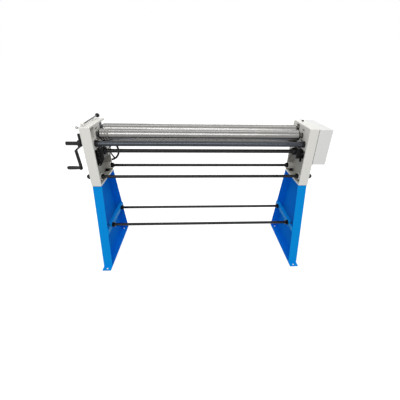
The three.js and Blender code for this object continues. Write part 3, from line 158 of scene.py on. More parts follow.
@dataclass(frozen=True)
class Finish:
    """A finish with two close tones, a varying roughness and a fine relief.

    The grain is given in millimetres along X, Y and Z, so that a ground or
    drawn surface can have long narrow marks and a cast one round ones.
    """

    name: str
    tone: str
    second_tone: str
    roughness: tuple[float, float]
    metallic: float = 0.0
    cloud_mm: float = 120.0
    grain_mm: tuple[float, float, float] = (4.0, 4.0, 4.0)
    relief_mm: float = 0.05
    relief_strength: float = 0.4
    grain_share: float = 0.35
    specular: float = 0.5

    def material(self) -> bpy.types.Material:
        """Build the finish's material, or give the one built before.

        Returns:
            The material with its node tree.
        """
        known = bpy.data.materials.get(self.name)
        if known is not None:
            return known
        made = bpy.data.materials.new(self.name)
        made.use_nodes = True
        tree = made.node_tree
        tree.nodes.clear()
        place = add_node(tree, "ShaderNodeTexCoord").outputs["Object"]
        clouds = add_node(tree, "ShaderNodeTexNoise",
                          values={"Scale": per_metre(self.cloud_mm), "Detail": CLOUD_DETAIL},
                          links={"Vector": place})
        stretched = add_node(tree, "ShaderNodeMapping",
                             values={"Scale": [per_metre(size) for size in self.grain_mm]},
                             links={"Vector": place})
        grain = add_node(tree, "ShaderNodeTexNoise", values={"Scale": 1.0, "Detail": GRAIN_DETAIL},
                         links={"Vector": stretched.outputs["Vector"]})
        blend = add_node(tree, "ShaderNodeMix", {"data_type": "FLOAT"}, {"Factor": self.grain_share},
                         {"A": clouds.outputs["Fac"], "B": grain.outputs["Fac"]})
        colour = add_node(tree, "ShaderNodeMix", {"data_type": "RGBA"},
                          {"A": linear(self.tone), "B": linear(self.second_tone)},
                          {"Factor": blend.outputs["Result"]})
        rough = add_node(tree, "ShaderNodeMapRange",
                         values={"From Min": NOISE_LOW, "From Max": NOISE_HIGH,
                                 "To Min": self.roughness[0], "To Max": self.roughness[1]},
                         links={"Value": grain.outputs["Fac"]})
        relief = add_node(tree, "ShaderNodeBump",
                          values={"Strength": self.relief_strength, "Distance": self.relief_mm * MM},
                          links={"Height": grain.outputs["Fac"]})
        shader = add_node(tree, "ShaderNodeBsdfPrincipled",
                          values={"Metallic": self.metallic, "Specular IOR Level": self.specular},
                          links={"Base Color": colour.outputs["Result"], "Roughness": rough.outputs["Result"],
                                 "Normal": relief.outputs["Normal"]})
        add_node(tree, "ShaderNodeOutputMaterial", links={"Surface": shader.outputs["BSDF"]})
        return made


# Powder coat on folded steel sheet: strong azure blue, even, a satin skin with slight orange peel.
LEG_POWDER = Finish("blue_powder_coat", "#0084d2", "#008cdc", (0.45, 0.55), cloud_mm=180.0,
                    grain_mm=(5.0, 5.0, 5.0), relief_mm=0.05, relief_strength=0.3, specular=0.07)
# Painted shade inside the folds of the legs: the same coat in a deeper, duller blue.
INNER_BLUE_PAINTED_SHADE = Finish("thin_blue_powder_coat", "#0070d8", "#007ce4", (0.66, 0.76), cloud_mm=110.0,
                      grain_mm=(6.0, 6.0, 6.0), relief_mm=0.05, relief_strength=0.3, specular=0.04)
# Machine enamel on grey iron: warm light grey, a soft gloss over the filled and rubbed casting.
HOUSING_ENAMEL = Finish("light_machine_enamel", "#d6d5cf", "#dddcd7", (0.42, 0.54), cloud_mm=90.0,
                        grain_mm=(8.0, 8.0, 8.0), relief_mm=0.08, relief_strength=0.35, specular=0.35)
# Painted shade in the castings' hollows: the enamel in a darker grey, duller and grainier.
HOLLOW_GREY_PAINTED_SHADE = Finish("dull_core_enamel", "#a3a29b", "#b1b0a9", (0.58, 0.72), cloud_mm=45.0,
                     grain_mm=(6.0, 6.0, 6.0), relief_mm=0.3, relief_strength=0.6, specular=0.25)
# The enamel on smooth steel sheet: flatter and a little cooler.
COVER_ENAMEL = Finish("sheet_cover_enamel", "#d5d6d3", "#dcdddb", (0.38, 0.46), cloud_mm=140.0,
                      grain_mm=(9.0, 9.0, 9.0), relief_mm=0.04, relief_strength=0.25, specular=0.35)
# Ground and polished roll steel with painted reflection: long soft streaks of lighter and darker tone along
# the roll, 7 mm apart so that they show, as reflections streak a polished roll; the roughness varies with
# them.
ROLL_GRIND = Finish("ground_roll_steel", "#747371", "#8d8c8a", (0.24, 0.34), metallic=1.0, cloud_mm=90.0,
                    grain_mm=(500.0, 7.0, 7.0), relief_mm=0.02, relief_strength=0.08, grain_share=0.6)
# The turned wire grooves: the same steel with the tool's matt finish, a little darker to the eye.
GROOVE_STEEL = Finish("turned_groove_steel", "#7c7a77", "#8a8885", (0.42, 0.55), metallic=1.0, cloud_mm=12.0,
                      grain_mm=(2.0, 30.0, 30.0), relief_mm=0.02, relief_strength=0.2)
# Cold drawn shaft: dark, faintly blue and smooth, with long marks along the bar.
DRAWN_SHAFT = Finish("drawn_shaft_steel", "#34363a", "#464a50", (0.16, 0.22), metallic=1.0, cloud_mm=80.0,
                     grain_mm=(400.0, 6.0, 6.0), relief_mm=0.02, relief_strength=0.06, grain_share=0.6)
# Black oxide on turned steel: near black, a dull metal sheen with long marks.
BLACK_OXIDE = Finish("black_oxide_steel", "#08080a", "#0e0e10", (0.24, 0.32), cloud_mm=60.0,
                     grain_mm=(200.0, 12.0, 12.0), relief_mm=0.01, relief_strength=0.02, specular=0.24)
# Black enamel on cast and forged parts: near black, slightly uneven.
BLACK_ENAMEL = Finish("black_enamel", "#0a0a0b", "#131315", (0.36, 0.48), cloud_mm=30.0,
                      grain_mm=(7.0, 7.0, 7.0), relief_mm=0.05, relief_strength=0.25, specular=0.25)
# Moulded phenolic plastic: glossy black with a faint flow pattern.
PHENOLIC = Finish("black_phenolic", "#0b0b0c", "#131314", (0.22, 0.32), cloud_mm=20.0,
                  grain_mm=(8.0, 8.0, 8.0), relief_mm=0.01, relief_strength=0.1, specular=0.28)
# Hobbed gear steel: mid grey with cutter marks across the face.
GEAR_CUT = Finish("hobbed_gear_steel", "#6b6c6e", "#858688", (0.32, 0.46), metallic=1.0, cloud_mm=30.0,
                  grain_mm=(2.0, 10.0, 10.0), relief_mm=0.02, relief_strength=0.2)
# Machined grey iron: dark, open grained.
GREY_IRON = Finish("machined_grey_iron", "#47484a", "#5a5b5d", (0.42, 0.58), metallic=0.8, cloud_mm=25.0,
                   grain_mm=(3.0, 3.0, 3.0), relief_mm=0.03, relief_strength=0.3)
# Drawn steel on small fittings: mid grey and smooth.
BRIGHT_STEEL = Finish("bright_fitting_steel", "#8f8f8e", "#a2a2a0", (0.24, 0.34), metallic=1.0, cloud_mm=10.0,
                      grain_mm=(3.0, 3.0, 3.0), relief_mm=0.01, relief_strength=0.1)
# Bearing bronze: warm yellow brown, turned.
BEARING_BRONZE = Finish("bearing_bronze", "#94682f", "#b5854a", (0.28, 0.42), metallic=1.0, cloud_mm=20.0,
                        grain_mm=(2.0, 12.0, 12.0), relief_mm=0.015, relief_strength=0.2)

BODY_OF = {node: body for body, nodes in frame["record"]["behaviour"]["bodies"].items() for node in nodes}


def deselect() -> None:
    """Leave edit mode and deselect everything, so that an operator acts on the new work alone."""
    if bpy.context.object is not None and bpy.context.object.mode != "OBJECT":
        bpy.ops.object.mode_set(mode="OBJECT")
    bpy.ops.object.select_all(action="DESELECT")


def take(piece: bpy.types.Object) -> None:
    """Select one object alone and make it the active one.

    Args:
        piece: the object.
    """
    deselect()
    piece.select_set(True)
    bpy.context.view_layer.objects.active = piece


def edit_all(piece: bpy.types.Object) -> None:
    """Enter edit mode on one object with its whole mesh selected.

    Args:
        piece: the object.
    """
    take(piece)
    bpy.ops.object.mode_set(mode="EDIT")
    bpy.ops.mesh.select_all(action="SELECT")


def centre(node: str) -> Vector:
    """The middle of a CAD node's box."""
    low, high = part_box(node)
    return (low + high) / 2


def eased(profile: Profile, ease: float, closed: bool) -> Profile:
    """Round the corners of a lathe profile.

    Args:
        profile: (reach, radius) pairs in millimetres.
        ease: how far each rounding starts from its corner, in millimetres.
        closed: whether the profile joins up with its start, as on a tube.

    Returns:
        The profile with each corner replaced by a short curve.
    """
    if closed:
        before, after = [profile[-1]] + profile[:-1], profile[1:] + profile[:1]
    else:
        before = [(profile[0][0], 0.0)] + profile[:-1]
        after = profile[1:] + [(profile[-1][0], 0.0)]
    rounded: Profile = []
    for last, corner, following in zip(before, profile, after):
        here = Vector(corner)
        back, ahead = Vector(last) - here, Vector(following) - here
        if min(back.length, ahead.length) < SHORTEST_SIDE or abs(back.angle(ahead) - math.pi) < STRAIGHT_BEND:
            rounded.append(corner)
            continue
        cut = min(ease, back.length * EASE_SHARE, ahead.length * EASE_SHARE)
        start, end = here + back.normalized() * cut, here + ahead.normalized() * cut
        for step in range(EASE_STEPS + 1):
            share = step / EASE_STEPS
            point = start.lerp(here, share).lerp(here.lerp(end, share), share)
            rounded.append((point.x, point.y))
    return rounded


def turned(name: str, origin: Vector, direction: Vector, profile: Profile, ease: float = 0.8,
           closed: bool = False, sides: int = SIDES) -> bpy.types.Object:
    """Turn a piece about a line, one ring after another.

    Args:
        name: the piece's name.
        origin: the point on the axis that reaches are counted from, in metres.
        direction: the axis, a unit vector.
        profile: (reach, radius) pairs in millimetres, from one end to the other.
        ease: size of the rounding at each corner, in millimetres.
        closed: True for a tube, whose profile joins up with its start.
        sides: number of sides.

    Returns:
        The new object, its place in its mesh.
    """
    stations = eased(profile, ease, closed) if ease > 0 else list(profile)
    if closed:
        stations.append(stations[0])
    reach, radius = stations[0]
    deselect()
    bpy.ops.mesh.primitive_circle_add(vertices=sides, radius=radius * MM,
                                      fill_type="NOTHING" if closed else "NGON",
                                      location=origin + direction * reach * MM,
                                      rotation=direction.to_track_quat("Z", "Y").to_euler())
    bpy.ops.object.transform_apply(location=True, rotation=True, scale=True)
    piece = bpy.context.object
    piece.name = name
    bpy.ops.object.mode_set(mode="EDIT")
    bpy.ops.mesh.select_all(action="SELECT")
    for next_reach, next_radius in stations[1:]:
        step = direction * (next_reach - reach) * MM
        bpy.ops.mesh.extrude_region_move(TRANSFORM_OT_translate={"value": step})
        if next_radius != radius:
            ratio = next_radius / radius
            bpy.ops.transform.resize(value=(ratio, ratio, ratio),
                                     center_override=origin + direction * next_reach * MM)
        reach, radius = next_reach, next_radius
    bpy.ops.mesh.select_all(action="SELECT")
    bpy.ops.mesh.remove_doubles(threshold=RING_MERGE_DISTANCE)
    bpy.ops.mesh.normals_make_consistent(inside=False)
    deselect()
    return piece


def softened(piece: bpy.types.Object, ease: float, segments: int = 2) -> bpy.types.Object:
    """Round a piece's sharp edges with a bevel and apply it.

    Args:
        piece: the piece.
        ease: size of the rounding in millimetres.
        segments: faces across each rounding.

    Returns:
        The same object.
    """
    take(piece)
    bpy.ops.object.modifier_add(type="BEVEL")
    bevel = piece.modifiers[-1]
    bevel.width = ease * MM
    bevel.segments = segments
    bevel.limit_method = "ANGLE"
    bevel.angle_limit = SHARP_ANGLE
    bevel.use_clamp_overlap = False
    bpy.ops.object.modifier_apply(modifier=bevel.name)
    return piece


def smoothed(piece: bpy.types.Object) -> bpy.types.Object:
    """Shade round stretches smooth and keep flat faces flat.

    Args:
        piece: the piece.

    Returns:
        The same object.
    """
    take(piece)
    bpy.ops.object.shade_smooth_by_angle(angle=SMOOTH_ANGLE)
    bpy.ops.object.modifier_add(type="WEIGHTED_NORMAL")
    weighted = piece.modifiers[-1]
    weighted.keep_sharp = True
    bpy.ops.object.modifier_apply(modifier=weighted.name)
    deselect()
    return piece


def recast(node: str, name: str, ease: float, segments: int = 2) -> bpy.types.Object:
    """Copy a CAD node's shape, merge its loose triangles and round its edges.

    Args:
        node: the CAD node to copy.
        name: the new piece's name.
        ease: size of the edge rounding in millimetres.
        segments: faces across each rounding.

    Returns:
        The new object.
    """
    piece = bpy.data.objects.new(name, frame["nodes"][node].data.copy())
    bpy.context.scene.collection.objects.link(piece)
    piece.data.materials.clear()
    edit_all(piece)
    bpy.ops.mesh.customdata_custom_splitnormals_clear()
    bpy.ops.mesh.remove_doubles(threshold=MERGE_DISTANCE)
    bpy.ops.mesh.dissolve_limited(angle_limit=FLAT_ANGLE)
    bpy.ops.mesh.select_all(action="SELECT")
    bpy.ops.mesh.vert_connect_concave()
    deselect()
    return softened(piece, ease, segments)


def fused(base: bpy.types.Object, others: Iterable[bpy.types.Object]) -> bpy.types.Object:
    """Join solids into the base as one closed shell.

    Args:
        base: the solid that stays.
        others: the solids that go into it.

    Returns:
        The base.
    """
    for other in others:
        take(base)
        bpy.ops.object.modifier_add(type="BOOLEAN")
        union = base.modifiers[-1]
        union.operation = "UNION"
        union.solver = "EXACT"
        union.object = other
        bpy.ops.object.modifier_apply(modifier=union.name)
        bpy.data.objects.remove(other)
    return base


def gathered(name: str, pieces: Sequence[bpy.types.Object]) -> bpy.types.Object:
    """Gather separate shells in one object.

    Args:
        name: the whole's name.
        pieces: the shells.

    Returns:
        The object that holds them all.
    """
    deselect()
    for piece in pieces:
        piece.select_set(True)
    bpy.context.view_layer.objects.active = pieces[0]
    bpy.ops.object.join()
    whole = bpy.context.object
    whole.name = name
    deselect()
    return whole


def duplicate(piece: bpy.types.Object, name: str, step: Sequence[float] = (0.0, 0.0, 0.0), turn: float = 0.0,
              axis: Axis = Axis.Z, pivot: Sequence[float] = (0.0, 0.0, 0.0)) -> bpy.types.Object:
    """Copy a piece with its own mesh, turn the copy about a line and shift it.

    Args:
        piece: the piece to copy.
        name: the copy's name.
        step: the shift in metres.
        turn: the angle in radians.
        axis: the direction of the line.
        pivot: a point on the line, in metres.

    Returns:
        The copy.
    """
    twin = bpy.data.objects.new(name, piece.data.copy())
    bpy.context.scene.collection.objects.link(twin)
    edit_all(twin)
    if turn:
        bpy.ops.transform.rotate(value=turn, orient_axis=axis.name, center_override=pivot)
    bpy.ops.transform.translate(value=step)
    deselect()
    return twin


def middle_x() -> float:
    """The middle between the two housings along X, in metres."""
    return (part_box("left_housing")[1].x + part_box("right_housing")[0].x) / 2


def across(piece: bpy.types.Object, name: str, y: float) -> bpy.types.Object:
    """Copy a piece of the left end to the right end by half a turn about the machine's middle at y."""
    return duplicate(piece, name, turn=math.pi, pivot=(middle_x(), y, 0.0))


def dress(piece: bpy.types.Object, finish: Finish, body: str, nodes: Sequence[str] = ()) -> bpy.types.Object:
    """Smooth a finished piece, give it its material, hang it on its body and hide the CAD nodes that it
    stands for.

    Args:
        piece: the finished object.
        finish: its main finish.
        body: the CAD body that it rides on.
        nodes: the CAD nodes that it replaces.

    Returns:
        The same object.
    """
    smoothed(piece)
    if not piece.data.materials:
        piece.data.materials.append(finish.material())
    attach(piece, body)
    if nodes:
        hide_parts(*nodes)
    LOG.info("%s rides on %s", piece.name, body)
    return piece


def paint(piece: bpy.types.Object, finishes: Sequence[Finish],
          choose: Callable[[bpy.types.MeshPolygon], int]) -> None:
    """Give each face of a piece one of several finishes by its place and direction.

    Args:
        piece: the piece to paint.
        finishes: the finishes, in the order that choose counts them.
        choose: gives a face's finish by number.
    """
    piece.data.materials.clear()
    for finish in finishes:
        piece.data.materials.append(finish.material())
    for face in piece.data.polygons:
        face.material_index = choose(face)


def faces_inward(face: bpy.types.MeshPolygon, middle: Vector, side: Side) -> bool:
    """Whether a face belongs to the hollow of a leg or housing that opens towards the rolls.

    Args:
        face: the face to judge.
        middle: the middle of the piece's box.
        side: the end of the machine that the piece stands at.

    Returns:
        True for the hollow's floor and walls.
    """
    towards_rolls = -side.value * face.normal.x
    if towards_rolls > SQUARE_FACE:
        return side.value * (face.center.x - middle.x) > 0
    if towards_rolls < -SQUARE_FACE:
        return False
    offset = face.center - middle
    return face.normal.y * offset.y + face.normal.z * offset.z < 0


def dressed_copy(node: str, finish: Finish, ease: float, segments: int = 2) -> bpy.types.Object:
    """Stand a piece with rounded edges in a CAD node's place."""
    piece = recast(node, f"{node}_piece", ease, segments)
    return dress(piece, finish, BODY_OF[node], [node])


def dressed_turn(node: str, finish: Finish, origin: Vector, axis: Axis, profile: Profile, ease: float = 0.8,
                 closed: bool = False, sides: int = SIDES) -> bpy.types.Object:
    """Stand a turned piece in a CAD node's place."""
    piece = turned(f"{node}_piece", origin, axis.vector, profile, ease, closed, sides)
    return dress(piece, finish, BODY_OF[node], [node])


def dressed_repeats(first: bpy.types.Object, finish: Finish, nodes: Sequence[str]) -> None:
    """Copy a piece to each further CAD node of its kind and dress them all.

    Args:
        first: the piece in the first node's place.
        finish: the finish of them all.
        nodes: the CAD nodes, the first one's name ahead.
    """
    start = centre(nodes[0])
    pieces = [first] + [duplicate(first, f"{node}_piece", centre(node) - start) for node in nodes[1:]]
    for piece, node in zip(pieces, nodes):
        dress(piece, finish, BODY_OF[node], [node])


def thread(start: float, end: float, radius: float, pitch: float) -> Profile:
    """The crests and roots of a screw thread, drawn as rings.

    Args:
        start: where the thread starts, in millimetres.
        end: where it ends.
        radius: the radius of its crests.
        pitch: the distance between crests.

    Returns:
        The thread's (reach, radius) pairs.
    """
    turns = max(int(abs(end - start) / pitch), 1)
    step = (end - start) / turns
    root = radius - abs(step) / 2
    ridges: Profile = []
    for turn in range(turns):
        ridges += [(start + step * turn, root), (start + step * (turn + 0.5), radius)]
    return ridges + [(end, root)]


def barrel(length: float, bore: float, near: Outline, belly: tuple[float, float], far: Outline) -> Profile:
    """The outline of a hollow grip.

    Args:
        length: the grip's length in millimetres.
        bore: the radius of its bore.
        near: (reach, radius) pairs from its near end.
        belly: a share of the length, and the radius there.
        far: (distance before its far end, radius) pairs.

    Returns:
        The closed profile.
    """
    middle = [(length * belly[0], belly[1])]
    end = [(length - back, radius) for back, radius in far]
    return [(0.0, bore)] + list(near) + middle + end + [(length, bore)]


def ball(radius: float, rings: int, first: int = 1) -> Profile:
    """The rings of a ball about its middle.

    Args:
        radius: the ball's radius in millimetres.
        rings: the steps from pole to pole.
        first: the step of the first ring.

    Returns:
        The (reach, radius) pairs up to the last ring before the far pole.
    """
    angles = [math.pi * step / rings for step in range(first, rings)]
    return [(-radius * math.cos(angle), radius * math.sin(angle)) for angle in angles]


def span(node: str, axis: Axis) -> tuple[Vector, float]:
    """Find a long node's middle line.

    Args:
        node: the CAD node.
        axis: the direction that it runs in.

    Returns:
        Where it starts on its middle line, and its length in millimetres.
    """
    low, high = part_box(node)
    middle = (low + high) / 2
    index = "XYZ".index(axis.name)
    start = middle.copy()
    start[index] = low[index]
    return start, (high[index] - low[index]) / MM


@dataclass
class Stand:
    """The two folded sheet legs and the angle bar across each."""

    fold_ease: float = 1.6
    toe_length: float = 40.0
    strip_ease: float = 1.0

    def build(self) -> None:
        """Make both legs and both angle bars."""
        for side in Side:
            node = f"{side.word}_leg"
            leg = recast(node, f"{node}_piece", self.fold_ease, segments=3)
            self.draw_back(leg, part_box(node)[1].y)
            middle = centre(node)
            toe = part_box(node)[0].y + self.toe_length * MM
            # Painted shade: the faces inside the leg's fold, behind the toe, get the deeper, duller blue.
            paint(leg, [LEG_POWDER, INNER_BLUE_PAINTED_SHADE],
                  lambda face: int(face.center.y > toe and faces_inward(face, middle, side)))
            dress(leg, LEG_POWDER, BODY_OF[node], [node])
            dressed_copy(f"{side.word}_leg_strip", LEG_POWDER, self.strip_ease)

    def draw_back(self, leg: bpy.types.Object, rear: float) -> None:
        """Bring the leaning rear corner, which its rounding pushes out by a hair, back to the leg's depth.

        Args:
            leg: the leg.
            rear: the depth of the leg's rear edge along Y, in metres.
        """
        reach = max(vertex.co.y for vertex in leg.data.vertices)
        edit_all(leg)
        bpy.ops.transform.resize(value=(1.0, rear / reach, 1.0), center_override=(0.0, 0.0, 0.0))
        deselect()


@dataclass
class Castings:
    """The two cast housings and the sheet cover over the gears."""

    cast_ease: float = 2.0
    sheet_ease: float = 1.2
    screw_dome: Outline = ((-1.0, 6.0), (0.0, 6.0), (1.92, 4.8), (3.2, 2.7), (1.6, 2.4))
    screw_inset: float = 14.0
    screw_count: int = 4
    bolt_radius: float = 12.0
    bolt_height: float = 9.0
    bolt_chamfer: float = 2.0
    washer_radius: float = 16.0
    washer_height: float = 2.5
    floor_rise: float = 12.0
    bolt_places: Outline = ((30.0, 254.0), (30.0, 66.0))
    top_screw_place: tuple[float, float] = (40.0, 237.0)
    top_screw_radius: float = 7.0
    top_screw_height: float = 8.0
    top_screw_socket: float = 3.5
    seam_width: float = 2.4
    seam_depth: float = 3.0
    seam_proud: float = 0.25

    def build(self) -> None:
        """Make the housings, the cover with its seam and screws, and the bolts."""
        for side in Side:
            self.housing(side)
        self.base_bolts()
        self.top_screw()
        dressed_copy("gear_cover", COVER_ENAMEL, self.sheet_ease, segments=3)
        self.cover_seam()
        self.cover_screws()

    def housing(self, side: Side) -> None:
        """A cast housing, enamelled, with painted shade in its hollows: a darker, duller grey.

        Args:
            side: the end of the machine that it stands at.
        """
        node = f"{side.word}_housing"
        piece = recast(node, f"{node}_piece", self.cast_ease, segments=3)
        middle = centre(node)
        # Painted shade: the faces of the hollows that open towards the rolls get the darker grey.
        paint(piece, [HOUSING_ENAMEL, HOLLOW_GREY_PAINTED_SHADE], lambda face: int(faces_inward(face, middle, side)))
        dress(piece, HOUSING_ENAMEL, BODY_OF[node], [node])

    def bolt(self, name: str, foot: Vector) -> bpy.types.Object:
        """A hexagon bolt head on a round washer.

        Args:
            name: the bolt's name.
            foot: the middle of the washer's underside.

        Returns:
            The bolt.
        """
        washer_top = self.washer_height
        top = washer_top + self.bolt_height
        disc = [(0.0, self.washer_radius), (washer_top, self.washer_radius)]
        washer = turned("washer", foot, Axis.Z.vector, disc, ease=0.4, sides=SMALL_SIDES)
        crown = [(washer_top, self.bolt_radius), (top - self.bolt_chamfer, self.bolt_radius),
                 (top, self.bolt_radius - self.bolt_chamfer)]
        head = turned("head", foot, Axis.Z.vector, crown, ease=0.3, sides=HEX)
        return gathered(name, [washer, head])

    def bolt_foot(self, side: Side, inset: float, depth: float) -> Vector:
        """The place of a bolt on the floor of a housing's hollow.

        Args:
            side: the housing.
            inset: distance from the inner face in millimetres.
            depth: distance from the front in millimetres.

        Returns:
            The middle of the washer's underside.
        """
        low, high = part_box(f"{side.word}_housing")
        inner = high.x if side is Side.LEFT else low.x
        return Vector((inner + side.value * inset * MM, low.y + depth * MM, low.z + self.floor_rise * MM))

    def base_bolts(self) -> None:
        """Two bolts in each housing, down into the leg."""
        feet = {f"{side.word}_base_bolt_{index + 1}": self.bolt_foot(side, *place)
                for side in Side for index, place in enumerate(self.bolt_places)}
        (name, start), *others = feet.items()
        first = self.bolt(name, start)
        bolts = [first] + [duplicate(first, other, foot - start) for other, foot in others]
        for bolt in bolts:
            dress(bolt, BLACK_OXIDE, "frame")

    def top_screw(self) -> None:
        """The short black screw on the right housing's top."""
        low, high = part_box("right_housing")
        inset, depth = self.top_screw_place
        foot = Vector((low.x + inset * MM, low.y + depth * MM, high.z))
        socket = self.top_screw_socket
        profile = [(0.0, self.top_screw_radius), (self.top_screw_height, self.top_screw_radius),
                   (self.top_screw_height, socket), (self.top_screw_height - socket, socket)]
        screw = turned("housing_top_screw", foot, Axis.Z.vector, profile, ease=0.4, sides=SMALL_SIDES)
        dress(screw, BLACK_OXIDE, "frame")

    def cover_seam(self) -> None:
        """The thin dark gasket between the housing and the cover."""
        low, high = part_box("gear_cover")
        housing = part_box("right_housing")[1]
        proud = self.seam_proud * MM
        width = high.y - low.y + 2 * proud
        height = high.z - low.z + 2 * proud
        place = Vector((housing.x - self.seam_width / 2 * MM, (low.y + high.y) / 2, (low.z + high.z) / 2))
        deselect()
        bpy.ops.mesh.primitive_plane_add(size=1.0, location=place, rotation=(0.0, math.pi / 2, 0.0))
        bpy.ops.transform.resize(value=(1.0, width, height))
        seam = bpy.context.object
        seam.name = "cover_gasket"
        bpy.ops.object.transform_apply(location=True, rotation=True, scale=True)
        bpy.ops.object.mode_set(mode="EDIT")
        bpy.ops.mesh.select_all(action="SELECT")
        bpy.ops.mesh.inset(thickness=self.seam_depth * MM)
        bpy.ops.mesh.delete(type="FACE")
        bpy.ops.mesh.select_all(action="SELECT")
        bpy.ops.mesh.extrude_region_move(TRANSFORM_OT_translate={"value": (self.seam_width * MM, 0.0, 0.0)})
        bpy.ops.mesh.select_all(action="SELECT")
        bpy.ops.mesh.normals_make_consistent(inside=False)
        deselect()
        dress(seam, BLACK_OXIDE, "frame")

    def cover_screws(self) -> None:
        """A row of round-headed screws up the cover's rear wall, beside the housing."""
        low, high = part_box("gear_cover")
        inset = self.screw_inset * MM
        foot = Vector((low.x + inset, high.y, low.z + inset))
        gap = (high.z - low.z - 2 * inset) / (self.screw_count - 1)
        first = turned("cover_screw_1", foot, Axis.Y.vector, list(self.screw_dome), ease=0.2,
                       sides=SMALL_SIDES)
        screws = [first] + [duplicate(first, f"cover_screw_{index + 1}", (0.0, 0.0, index * gap))
                            for index in range(1, self.screw_count)]
        for screw in screws:
            dress(screw, BLACK_OXIDE, "frame")


@dataclass
class TieRods:
    """The four black rods across the machine, with their nuts."""

    radius: float = 10.0
    pitch: float = 2.5
    thread_length: float = 52.0
    run_out: float = 1.0
    chamfer: float = 1.6
    nut_ease: float = 1.2
    nut_radius: float = 19.6
    nut_height: float = 20.0
    nut_bore: float = 10.3
    nut_gap: float = 0.3
    cap_dome: Outline = ((-0.3, 15.5), (4.0, 15.5), (9.0, 13.5), (13.0, 9.5), (16.0, 4.5))
    cap_ease: float = 1.5

    def build(self) -> None:
        """Make the rods, the housing nuts with their caps, and the nuts at the angle bars."""
        self.rods("upper")
        self.rods("lower")
        nuts = [f"{side.word}_{row}_{place}_nut" for side in Side for row in ("front", "rear")
                for place in ("inner", "outer")]
        dressed_repeats(recast(nuts[0], f"{nuts[0]}_piece", self.nut_ease), BLACK_OXIDE, nuts)
        self.nut_caps()
        self.strip_nuts()

    def rods(self, level: str) -> None:
        """Two rods with a threaded and chamfered end on each side.

        Args:
            level: "upper" between the housings, "lower" between the legs.
        """
        nodes = [f"{level}_{row}_tie_rod" for row in ("front", "rear")]
        start, length = span(nodes[0], Axis.X)
        crest = self.radius
        left = thread(self.chamfer, self.thread_length, crest, self.pitch)
        right = thread(length - self.thread_length, length - self.chamfer, crest, self.pitch)
        plain = self.thread_length + self.run_out
        profile = [(0.0, crest - self.chamfer)] + left + [(plain, crest), (length - plain, crest)]
        profile += right + [(length, crest - self.chamfer)]
        first = turned(f"{nodes[0]}_piece", start, Axis.X.vector, profile, ease=0.0, sides=SMALL_SIDES)
        dressed_repeats(first, BLACK_OXIDE, nodes)

    def nut_caps(self) -> None:
        """A round cap over each end of the upper rods."""
        front, rear = centre("left_front_outer_nut"), centre("left_rear_outer_nut")
        foot = Vector((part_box("left_front_outer_nut")[0].x, front.y, front.z))
        first = turned("left_front_nut_cap", foot, -Axis.X.vector, list(self.cap_dome), self.cap_ease,
                       sides=SMALL_SIDES)
        second = duplicate(first, "left_rear_nut_cap", rear - front)
        caps = [first, second, across(first, "right_front_nut_cap", front.y),
                across(second, "right_rear_nut_cap", rear.y)]
        for cap in caps:
            dress(cap, BLACK_OXIDE, "frame")

    def strip_nuts(self) -> None:
        """The nuts that hold the lower rods on the rolls' side of each angle bar."""
        front, rear = centre("lower_front_tie_rod"), centre("lower_rear_tie_rod")
        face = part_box("left_leg_strip")[1].x
        body = [(0.0, self.nut_bore), (0.0, self.nut_radius), (self.nut_height, self.nut_radius),
                (self.nut_height, self.nut_bore)]
        foot = Vector((face + self.nut_gap * MM, front.y, front.z))
        first = turned("left_front_strip_nut", foot, Axis.X.vector, body, ease=0.0, closed=True, sides=HEX)
        softened(first, self.nut_ease)
        second = duplicate(first, "left_rear_strip_nut", rear - front)
        nuts = [first, second, across(first, "right_front_strip_nut", front.y),
                across(second, "right_rear_strip_nut", rear.y)]
        for nut in nuts:
            dress(nut, BLACK_OXIDE, "frame")


